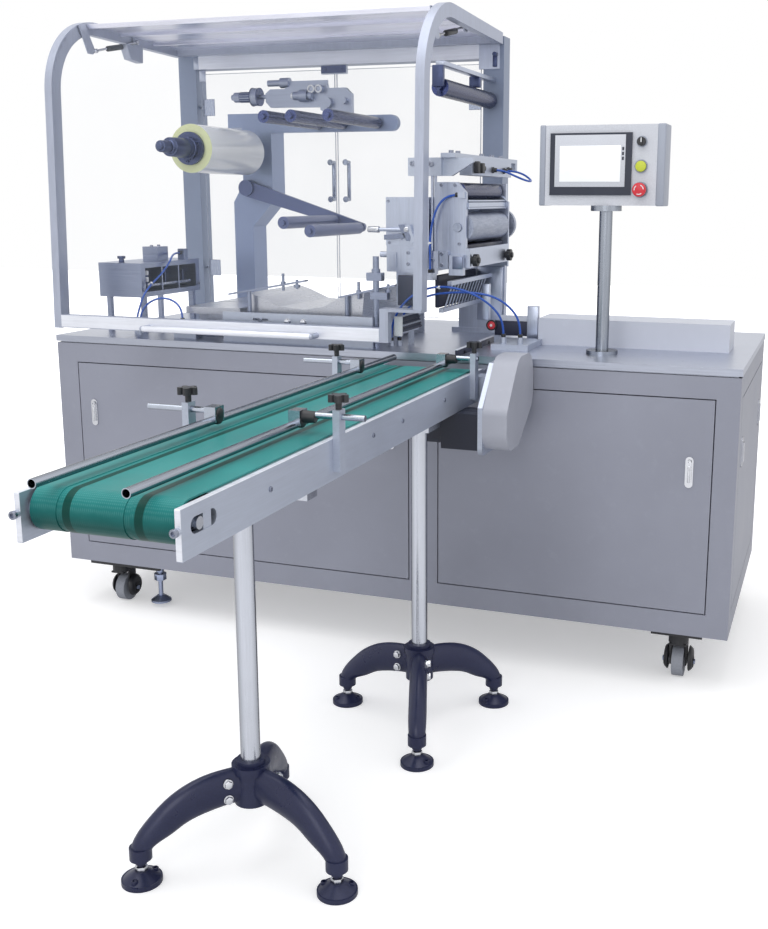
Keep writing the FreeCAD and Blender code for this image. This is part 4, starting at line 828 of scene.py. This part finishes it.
fittingSizes = {
    "valve": [(1225, 330, 1338), (1225, 440, 1336), (1225, 552, 1336), (1225, 600, 1340)],
    "ports": [((1228, 124, 1264), left), ((1151, 112, 1056), up), ((1350, 152, 884), up), ((1396, 158, 884), up),
              ((1034, 118, 864), up), ((1052, 134, 864), up), ((198, 124, 864), up), ((222, 104, 864), up),
              ((384, 84, 898), up), ((187, 400, 1080), front)],
    "solenoids": [((1225, 262, 1324), (1239, 282, 1356)), ((1225, 290, 1324), (1243, 312, 1352))],
    "ties": [((1150.5, 111.5, 1134), (0.03, 0, 1)), ((1178, 104, 1017.5), (1, 0, 0)), ((219, 176, 996), (0.1, 1, 0.6))],
    "collar": (6.4, 9),
    "tie": (3.1, 4.6, 5),
}


def makeFittings():
    s = fittingSizes
    bm = bmesh.new()
    for place in s["valve"]:
        drop(bm, hexShape(15, 6), place, right)
        drop(bm, rodShape(6.4, 14, 18, None, 0.8), place, right)
    for place, axis in s["ports"]:
        drop(bm, rodShape(*s["collar"], 18, None, 0.9), place, axis)
    for low, high in s["solenoids"]:
        addBlock(bm, low, high, 1.2)
    makePiece("hose_fittings", bm, "plasticBlack")
    bm = bmesh.new()
    for place, axis in s["ties"]:
        inner, outer, length = s["tie"]
        drop(bm, ringShape(inner, outer, length, 16), place, axis)
        drop(bm, rodShape(1.6, 7, 6), (place[0], place[1] - outer, place[2]), front)
    makePiece("hose_ties", bm, "nylonWhite")


# knobs and handles

knobSizes = {
    "bar": [(1258, 152, 1090), (1258, 478, 1090)],
    "plateNuts": [(768, 71, 1017), (1040, 81, 1008)],
    "brake": (330, 603, 1576),
    "lever": (966, 128, 1170),
}


def makeKnobs():
    s = knobSizes
    bm = bmesh.new()
    for place in s["bar"]:
        drop(bm, rodShape(10, 6, 20), place, right)
        drop(bm, knobShape(17, 13), (place[0] + 5, place[1], place[2]), right)
        drop(bm, rodShape(8, 5, 16, None, 0.8), (place[0] + 18, place[1], place[2]), right)
    makePiece("bar_knobs", bm, "plasticBlack")
    bm = bmesh.new()
    x, y, z = s["brake"]
    drop(bm, knobShape(17, 44, 26), (x + 26, y, z), left)
    drop(bm, ringShape(7, 29, 3, 40), (380, y, z), right)
    drop(bm, ringShape(17, 29.5, 2, 40), (358, y, z), left)
    makePiece("brake_details", bm, "darkAlloy")
    bm = bmesh.new()
    drop(bm, rodShape(9, 34, 22, 8, 1.5), (s["lever"][0] + 30, s["lever"][1], s["lever"][2]), left)
    drop(bm, knobShape(10, 12, 18), (1084, 128, 1170), left)
    makePiece("crank_grip", bm, "barSteel")
    bm = bmesh.new()
    drop(bm, rodShape(12, 10, 28, 9, 2.5), (516, 582, 1574), left)
    for x in (579, 605):
        drop(bm, ringShape(8, 12.6, 3, 28), (x, 576, 1594), front)
    makePiece("tension_button", bm, "nylonWhite")


# comb bristles beside the infeed

combSizes = {"count": 12, "first": 50, "pitch": 12, "x": 1098, "z": 915, "coil": 5.2, "rings": 4}


def makeCombCoils():
    # each tooth carries a short spring: rings leaning along the tooth
    s = combSizes
    bm = bmesh.new()
    for i in range(s["count"]):
        y = s["first"] + s["pitch"] * i
        addBar(bm, (s["x"] - 10, y, s["z"] + 22), (s["x"] + 1, y - 5, s["z"] - 16), 2.6, 8)
        for k in range(s["rings"]):
            t = 0.2 + 0.22 * k
            place = (s["x"] - 10 + 11 * t, y - 5 * t, s["z"] + 22 - 38 * t)
            drop(bm, ringShape(2.6, s["coil"], 3.4, 10), place, (0.3, -0.13, -1))
    makePiece("comb_springs", bm, "springDark")
    bm = bmesh.new()
    addBlock(bm, (1076, 33, 888), (1099, 40, 941), 1.5)
    makePiece("comb_end_block", bm, "nylonWhite")


# hood roof plate, gas strut and its tabs

roofSizes = {
    "outline": [(28, 196, 1761.5), (28, 240, 1761.4), (28, 686, 1748.6), (28, 686, 1745.4), (28, 240, 1758),
                (28, 201, 1758.2), (28, 201, 1748), (28, 196, 1748)],
    "width": 1114,
    "ribs": [((28, 360, 1746), (1142, 366, 1756)), ((28, 540, 1741), (1142, 546, 1751))],
    "tab": [(150, 1754), (184, 1757), (226, 1688), (214, 1677), (190, 1677)],
    "strut": [(222, 1688), (282, 1701), (367, 1718), (440, 1739)],
    "strutTab": [(425, 1757), (470, 1756), (462, 1726), (434, 1726)],
    "sides": {"left": (27, 34), "right": (1139, 1134)},
    "bracket": [(350, 1724), (440, 1722), (436, 1674), (372, 1680)],
}


def makeHoodRoof():
    s = roofSizes
    bm = bmesh.new()
    addPlate(bm, s["outline"], s["width"], right)
    for low, high in s["ribs"]:
        addBlock(bm, low, high, 0.8, 1)
    makePiece("hood_roof", bm, "roofSteel", "hood")
    tabs, rods, bodies = bmesh.new(), bmesh.new(), bmesh.new()
    for label, (tabX, rodX) in s["sides"].items():
        way = right if label == "left" else left
        for outline in (s["tab"], s["strutTab"]):
            addPlate(tabs, [(tabX, y, z) for y, z in outline], 4, way)
        points = [(rodX, y, z) for y, z in s["strut"]]
        addBar(rods, points[0], points[3], 3.4, 14)
        for place in (points[0], points[3]):
            drop(rods, rodShape(6.5, 12, 16, None, 1), (place[0] - 6, place[1], place[2]), right)
        addBar(bodies, points[1], points[2], 8.5, 20, None, 1.4)
    addPlate(tabs, [(30, y, z) for y, z in s["bracket"]], 26, right)
    makePiece("strut_tabs", tabs, "guardAlloy", "hood")
    makePiece("strut_rods", rods, "chrome", "hood")
    makePiece("strut_bodies", bodies, "plasticBlack", "hood")


# guide rail grips

gripSizes = {"left": (1108, (-963, -289)), "right": (1271, (-938, -124)), "height": 861, "radius": 13.5}


def makeRailGrips():
    s = gripSizes
    for label, body in (("left", "left_guide"), ("right", "right_guide")):
        x, places = s[label]
        reach = 15 if label == "left" else 38
        bm = bmesh.new()
        for y in places:
            drop(bm, rodShape(15.5, 27, 26, 15, 5), (x - 13, y, 850), right)
            drop(bm, rodShape(s["radius"], reach + 14, 24, 11, 4.5), (x - 13, y, s["height"] - 4), right)
        makePiece(f"{label}_rail_grips", bm, "plasticBlack", body)


# stands: through bolts, foot nuts and foot lugs

standSizes = {
    "near": ((1206, -1041), (223.8, 343.8, 103.8)),
    "far": ((1310, -398), (289, 169, 49)),
    "boltReach": 50, "boltHeights": (171, 139), "half": 15,
    "footReach": 214, "lugRing": 27,
}


def makeStandDetails():
    s = standSizes
    bolts = bmesh.new()
    lugs = bmesh.new()
    for label in ("near", "far"):
        (x, y), angles = s[label]
        for angle in angles:
            a = math.radians(angle)
            out = Vector((math.cos(a), math.sin(a), 0))
            side = Vector((-math.sin(a), math.cos(a), 0))
            for z in s["boltHeights"]:
                place = Vector((x, y, z)) + out * s["boltReach"] + side * s["half"]
                drop(bolts, rodShape(9.5, 7.5, 22, None, 0.5), place, side)
                drop(bolts, hexShape(14, 13), place, side)
            foot = Vector((x, y, 0)) + out * s["footReach"]
            drop(bolts, hexShape(21, 9), (foot.x, foot.y, 24), up)
            drop(bolts, hexShape(19, 7), (foot.x, foot.y, 40.5), up)
            for turn in (0.9, 3.4):
                lug = foot + Vector((math.cos(a + turn), math.sin(a + turn), 0)) * s["lugRing"]
                drop(lugs, screwShape(6.5, 9), (lug.x, lug.y, 9), up)
    makePiece("stand_bolts", bolts, "chrome")
    makePiece("foot_lugs", lugs, "castNavy")


# floor fittings under the cabinet

floorSizes = {"feet": [(266, 80), (266, 740)], "wheels": [(131, 96), (131, 756), (1869, 96), (1869, 756)],
              "channels": [((60, 14, 136), (308, 24, 150)), ((60, 776, 136), (308, 786, 150)),
                           ((1803, 14, 138), (1935, 22, 150))]}


def makeFloorFittings():
    s = floorSizes
    bm = bmesh.new()
    for x, y in s["feet"]:
        drop(bm, hexShape(32, 18), (x, y, 84), up)
        drop(bm, rodShape(19, 3, 26), (x, y, 102), up)
        for k in range(9):
            drop(bm, rodShape(8.6, 2.2, 18, 7.6), (x, y, 106 + 4 * k), up)
    for x, y in s["wheels"]:
        for way in (right, left):
            drop(bm, hexShape(13, 5), (x + 38 * way[0], y, 42), way)
    makePiece("floor_fittings", bm, "footSteel")
    bm = bmesh.new()
    for x, y in s["wheels"]:
        for way in (right, left):
            drop(bm, rodShape(36, 11, 34, 27, 3.5), (x + 26.5 * way[0], y, 50), way)
            drop(bm, ringShape(10, 16, 12.5, 30), (x + 26.5 * way[0], y, 42), way)
        drop(bm, rodShape(30, 12, 30, 26, 3), (x, y, 117), up)
    makePiece("caster_cheeks", bm, "plasticBlack")
    bm = bmesh.new()
    for low, high in s["channels"]:
        addBlock(bm, low, high, 1, 1)
    makePiece("floor_channels", bm, "plasticBlack")


# latch paddles on the access panels

latchSizes = {"front": [(120, 621.5), (1079, 621.5), (1884, 583.5)], "half": 3.2, "tall": 26}


def makeLatchPaddles():
    s = latchSizes
    bm = bmesh.new()
    for x, z in s["front"]:
        addBlock(bm, (x - s["half"], -9.5, z - s["tall"]), (x + s["half"], -5, z + s["tall"] - 8), 2, 3)
        drop(bm, ringShape(2.5, 5.5, 3, 20), (x, -6, z + s["tall"] + 1), front)
    makePiece("latch_paddles", bm, "chrome")


# inside of the end-seal heater

heaterSizes = {
    "core": ((84, 184, 984), (150, 448, 1032)),
    "blades": [((150, 196, 990), (190, 204, 1026)), ((150, 300, 990), (190, 306, 1026)),
               ((150, 400, 990), (190, 406, 1026))],
    "bar": ((186, 190, 984), (196, 440, 992)),
    "insulators": [(192, 196, 1000), (192, 196, 1020)],
    "rings": [(204, 160, 978), (204, 470, 978)],
    "knob": (118, 176, 1058),
}


def makeHeaterParts():
    s = heaterSizes
    bm = bmesh.new()
    addBlock(bm, *s["core"], 2)
    for low, high in s["blades"]:
        addBlock(bm, low, high, 0.8, 1)
    drop(bm, rodShape(9, 14, 20, 7, 1), s["knob"], up)
    drop(bm, knobShape(12, 8, 18), (s["knob"][0], s["knob"][1], 1070), up)
    makePiece("heater_core", bm, "darkAlloy")
    bm = bmesh.new()
    addBlock(bm, *s["bar"], 1)
    for place in s["rings"]:
        drop(bm, screwShape(6, 5), place, right)
    for y in (300, 340):
        drop(bm, screwShape(5, 5), (145, y, 1102), up)
    makePiece("heater_bars", bm, "boltSteel")
    bm = bmesh.new()
    for place in s["insulators"]:
        drop(bm, rodShape(6, 14, 18, None, 1.5), place, up)
    makePiece("heater_insulators", bm, "nylonWhite")


# rear frame: polished beam face, corner plates, roller holder, door metalwork

frameSizes = {
    "beam": ((80, 729.5, 1684), (1090, 733.2, 1742)),
    "corner": [(1089, 733, 1742), (1089, 733, 1652), (1157, 733, 1652), (1157, 733, 1742)],
    "cornerHole": (1142, 727, 1674),
    "blocks": [((62, 728, 1684), (80, 734, 1722)), ((84, 727, 1644), (106, 734, 1680))],
    "holderBar": ((1120, 240, 1612), (1146, 733, 1624)),
    "holders": [((1112, 232, 1556), (1144, 250, 1613)), ((1112, 560, 1582), (1146, 580, 1613))],
    "holderScrew": (1128, 241, 1533),
    "rollerCap": (1128, 245, 1556),
}


def makeFrameFittings():
    s = frameSizes
    bm = bmesh.new()
    addBlock(bm, *s["beam"], 0.8, 1)
    makePiece("beam_face", bm, "beamSteel")
    bm = bmesh.new()
    addPlate(bm, s["corner"], 4, front)
    for low, high in s["blocks"]:
        addBlock(bm, low, high, 1.5)
    addBlock(bm, *s["holderBar"], 1)
    makePiece("frame_plates", bm, "uprightSteel")
    bm = bmesh.new()
    for low, high in s["holders"]:
        addBlock(bm, low, high, 2)
    x, y, z = s["cornerHole"]
    addBlock(bm, (x - 7, y - 3, z - 16), (x + 7, y + 3, z + 18), 2)
    drop(bm, rodShape(7, 6, 18, None, 0.8), (x, y - 2, z + 22), front)
    drop(bm, rodShape(4, 24, 14, None, 0.6), s["holderScrew"], up)
    drop(bm, screwShape(9, 7), s["rollerCap"], front)
    makePiece("roller_holders", bm, "darkAlloy")


doorSizes = {
    "handles": {"rear_door_left_leaf": 557, "rear_door_right_leaf": 613},
    "handle": (1250, 1372, 786, 6.4), "standY": 756,
    "leaves": {"rear_door_left_leaf": (81, 122), "rear_door_right_leaf": (1048, 1089)},
    "leafHeights": (1010, 1560), "leafHalf": 28,
    "catch": ((540, 734, 1658), (630, 736, 1682)),
    "panes": {"rear_door_left_leaf": (79, 582), "rear_door_right_leaf": (588, 1091)},
    "paneHeights": (862, 1671), "paneDepth": (749.85, 756.4), "sawn": 1.6,
}


def makeDoorMetal():
    s = doorSizes
    low, high, y, radius = s["handle"]
    for body, x in s["handles"].items():
        bm = bmesh.new()
        addBar(bm, (x, y, low - 1), (x, y, high + 1), radius, 18, None, 1)
        for z in (low, high):
            addBar(bm, (x, s["standY"], z), (x, y + 2, z), radius, 18)
            drop(bm, ringShape(radius, 10, 2, 24), (x, s["standY"] + 0.2, z), back)
        a, b = s["leaves"][body]
        for z in s["leafHeights"]:
            addBlock(bm, (a, 755.5, z - s["leafHalf"]), (b, 759.6, z + s["leafHalf"]), 1, 1)
            for dz in (-18, 18):
                drop(bm, screwShape(4, 3), ((a + b) / 2, 759, z + dz), back)
        makePiece(body.replace("_leaf", "_metal"), bm, "handleSteel", body)
        # the sawn edges of a clear pane catch the light
        bm = bmesh.new()
        start, end = s["panes"][body]
        bottom, top = s["paneHeights"]
        near, far = s["paneDepth"]
        for x in (start, end - s["sawn"]):
            addBlock(bm, (x, near, bottom), (x + s["sawn"], far, top), 0.3, 1)
        for z in (bottom, top - s["sawn"]):
            addBlock(bm, (start + s["sawn"], near, z), (end - s["sawn"], far, z + s["sawn"]), 0.3, 1)
        makePiece(body.replace("_leaf", "_edges"), bm, "sawnEdge", body)
    bm = bmesh.new()
    addBlock(bm, *s["catch"], 0.8, 1)
    for x in (556, 614):
        drop(bm, screwShape(5, 3), (x, 734.5, 1670), front)
    makePiece("catch_face", bm, "darkAlloy")


# the first blocks are painted shade: dark navy blocks set where the feed unit shows only deep shade, under the press
# roller, behind the gripper fingers and at the feed unit's front
feedSizes = {
    "paintedShadeBlocks": [((1192, 149, 1100), (1243, 498, 1131)), ((1148, 158, 956), (1160, 498, 1046)), ((1053, 117.5, 963), (1103, 123.5, 1047))],
    "scraper": ((1236, 149, 1226), (1252, 498, 1231)),
    "wiper": ((1243, 152, 1246), (1249, 498, 1251)),
    "stopBlock": ((1240, 300, 912), (1262, 318, 1016)),
    "rearPlate": ((1163, 500, 890), (1242, 511, 1052)),
    "crank": [[(1012, 1156), (1012, 1142), (1076, 1148), (1072, 1161)],
              [(1054, 1184), (1072, 1184), (1090, 1152), (1088, 1140), (1078, 1140), (1062, 1166)]],
    "sensor": (1266, 318, 896),
    "pusherFace": ((1275, 318, 868), (1371, 322.2, 910)),
    "pusherEdge": ((1373, 312, 852), (1404, 316.5, 954)),
    "squareCover": ((1214, 113, 1067), (1243, 117.4, 1101)),
    "gearWindow": ((1019, 120, 1144), (1045, 124, 1176)),
}


def makeFeedShadeBlocksAndPlates():
    s = feedSizes
    bm = bmesh.new()
    # painted shade: dark blocks where there is only shade; the pusher face added with them is the pusher head's own
    # dark colour
    for low, high in s["paintedShadeBlocks"]:
        addBlock(bm, low, high, 3)
    addBlock(bm, *s["pusherFace"], 1)
    makePiece("feed_painted_shade_and_pusher_face", bm, "shadeNavy")
    bm = bmesh.new()
    addBlock(bm, *s["scraper"], 1)
    addBlock(bm, *s["wiper"], 1)
    addBlock(bm, *s["stopBlock"], 2)
    addBlock(bm, *s["rearPlate"], 1)
    addBlock(bm, *s["pusherEdge"], 1)
    makePiece("feed_plates", bm, "uprightSteel")
    bm = bmesh.new()
    addBlock(bm, *s["squareCover"], 1.4)
    for outline in s["crank"]:
        addPlate(bm, [(x, 121, z) for x, z in outline], 6, back)
    makePiece("crank_lever", bm, "darkPlate")
    x, y, z = s["sensor"]
    bm = bmesh.new()
    drop(bm, rodShape(12.5, 8, 28, 11, 2.4), (x, y, z), front)
    makePiece("sensor_lens", bm, "buttonRed")
    bm = bmesh.new()
    drop(bm, rodShape(4.2, 2, 20, 3.2, 0.6), (x, y - 7.4, z), front)
    makePiece("sensor_light", bm, "nylonWhite")
    bm = bmesh.new()
    drop(bm, ringShape(12, 15.5, 7, 30), (x, y + 1, z), front)
    makePiece("sensor_ring", bm, "plasticBlack")


# conveyor trims: bright top edges, blank plate, far belt guide, hood sill and handle sleeve

conveyorSizes = {
    "edges": [((1338, -1463, 820.5), (1348, -30, 822)), ((1060, -1463, 820.5), (1070, -30, 822)),
              ((1338, -1463.8, 744), (1348, -1462.5, 821)), ((1060, -1463.8, 744), (1070, -1462.5, 821))],
    "blankPlate": ((1347.6, -113, 752), (1349, -70, 798)),
    "farGuide": ((1272, -30, 836), (1279, 300, 866)),
    "farEdge": ((1271.5, -30, 866), (1279.5, 300, 868.5)),
    "farLegs": [(1276, 30), (1276, 250)],
    "sill": ((26, -9.2, 876), (1049, -7.6, 911)),
    "sleeve": ((332, -44, 886), (862, -44, 886), 8.7),
    "mountBolts": [(1417, -118, 806), (1417, -150, 786), (1417, -172, 734), (1417, -158, 654)],
}


def makeConveyorTrims():
    s = conveyorSizes
    bm = bmesh.new()
    for low, high in s["edges"]:
        addBlock(bm, low, high, 0.5, 1)
    makePiece("plate_edges", bm, "beamSteel")
    bm = bmesh.new()
    addBlock(bm, *s["blankPlate"], 0.4, 1)
    makePiece("blank_plate", bm, "nylonWhite")
    bm = bmesh.new()
    addBlock(bm, *s["farGuide"], 1.2)
    for x, y in s["farLegs"]:
        addBlock(bm, (x - 3, y - 8, 850), (x + 3, y + 8, 860), 1)
    makePiece("outfeed_guide", bm, "shadeNavy")
    bm = bmesh.new()
    addBlock(bm, *s["farEdge"], 0.8)
    makePiece("outfeed_guide_edge", bm, "beamSteel")
    bm = bmesh.new()
    for place in s["mountBolts"]:
        drop(bm, rodShape(8, 1.6, 20), place, right)
        drop(bm, hexShape(10, 6), (place[0] + 1.5, place[1], place[2]), right)
    makePiece("mount_bolts", bm, "boltSteel")
    bm = bmesh.new()
    addBlock(bm, *s["sill"], 0.5, 1)
    start, end, radius = s["sleeve"]
    addBar(bm, start, end, radius, 26, None, 1.5)
    makePiece("hood_sill", bm, "beamSteel", "hood")


for make in (makeScrews, makeRailBolts, makePanelFront, makeButtons, makeReelEnds, makeFittings, makeKnobs,
             makeCombCoils, makeHoodRoof, makeRailGrips, makeStandDetails, makeFloorFittings, makeLatchPaddles,
             makeHeaterParts, makeFrameFittings, makeDoorMetal, makeFeedShadeBlocksAndPlates,
             makeConveyorTrims):
    make()
print("fittings and fasteners made")


# stage and light

stageSizes = {"floorHalf": 14.0, "floorColour": (0.86, 0.86, 0.87, 1.0), "worldLight": 0.78,
              "paperGlow": (0.36, 1.0), "paperFade": (1.6, 3.4)}


def makeStage():
    bm = bmesh.new()
    bmesh.ops.create_grid(bm, x_segments=1, y_segments=1, size=stageSizes["floorHalf"])
    mesh = bpy.data.meshes.new("studioFloor")
    bm.to_mesh(mesh)
    bm.free()
    floor = bpy.data.objects.new("studioFloor", mesh)
    bpy.context.scene.collection.objects.link(floor)
    material = bpy.data.materials.new("studioPaper")
    material.use_nodes = True
    tree = material.node_tree
    shader = tree.nodes["Principled BSDF"]
    shader.inputs["Base Color"].default_value = stageSizes["floorColour"]
    shader.inputs["Roughness"].default_value = 0.9
    shader.inputs["Specular IOR Level"].default_value = 0.1
    rays = tree.nodes.new("ShaderNodeLightPath")
    shader.inputs["Emission Color"].default_value = (1, 1, 1, 1)
    place = tree.nodes.new("ShaderNodeTexCoord")
    reach = tree.nodes.new("ShaderNodeVectorMath")
    reach.operation = "LENGTH"
    tree.links.new(place.outputs["Object"], reach.inputs[0])
    fade = rangeNode(tree, reach.outputs["Value"], *stageSizes["paperGlow"], *stageSizes["paperFade"])
    tree.links.new(mathNode(tree, "MULTIPLY", rays.outputs["Is Camera Ray"], fade), shader.inputs["Emission Strength"])
    mesh.materials.append(material)


def makeWorld():
    world = bpy.data.worlds.new("studioWorld")
    bpy.context.scene.world = world
    world.use_nodes = True
    tree = world.node_tree
    back = tree.nodes["Background"]
    rays = tree.nodes.new("ShaderNodeLightPath")
    seen = mathNode(tree, "MAXIMUM", rays.outputs["Is Camera Ray"], rays.outputs["Is Glossy Ray"])
    seen = mathNode(tree, "MAXIMUM", seen, rays.outputs["Is Transmission Ray"])
    strength = tree.nodes.new("ShaderNodeMapRange")
    tree.links.new(seen, strength.inputs["Value"])
    strength.inputs["To Min"].default_value = stageSizes["worldLight"]
    strength.inputs["To Max"].default_value = 1.0
    back.inputs["Color"].default_value = (1, 1, 1, 1)
    tree.links.new(strength.outputs["Result"], back.inputs["Strength"])


def makeLamp(name, place, target, size, power):
    data = bpy.data.lights.new(name, "AREA")
    data.shape = "RECTANGLE"
    data.size = size[0]
    data.size_y = size[1]
    data.energy = power
    lamp = bpy.data.objects.new(name, data)
    bpy.context.scene.collection.objects.link(lamp)
    lamp.location = place
    lamp.rotation_euler = (Vector(target) - Vector(place)).to_track_quat("-Z", "Y").to_euler()


makeStage()
makeWorld()
makeLamp("topLamp", (-0.3, -0.6, 4.4), (0, 0.2, 0.8), (4.0, 4.0), 74)
makeLamp("frontLamp", (0.6, -5.4, 2.8), (0, 0.1, 0.8), (3.0, 2.6), 44)
makeLamp("rightLamp", (4.6, -1.6, 2.2), (0.4, 0.2, 0.8), (1.8, 2.4), 3)
print("stage and light ready")
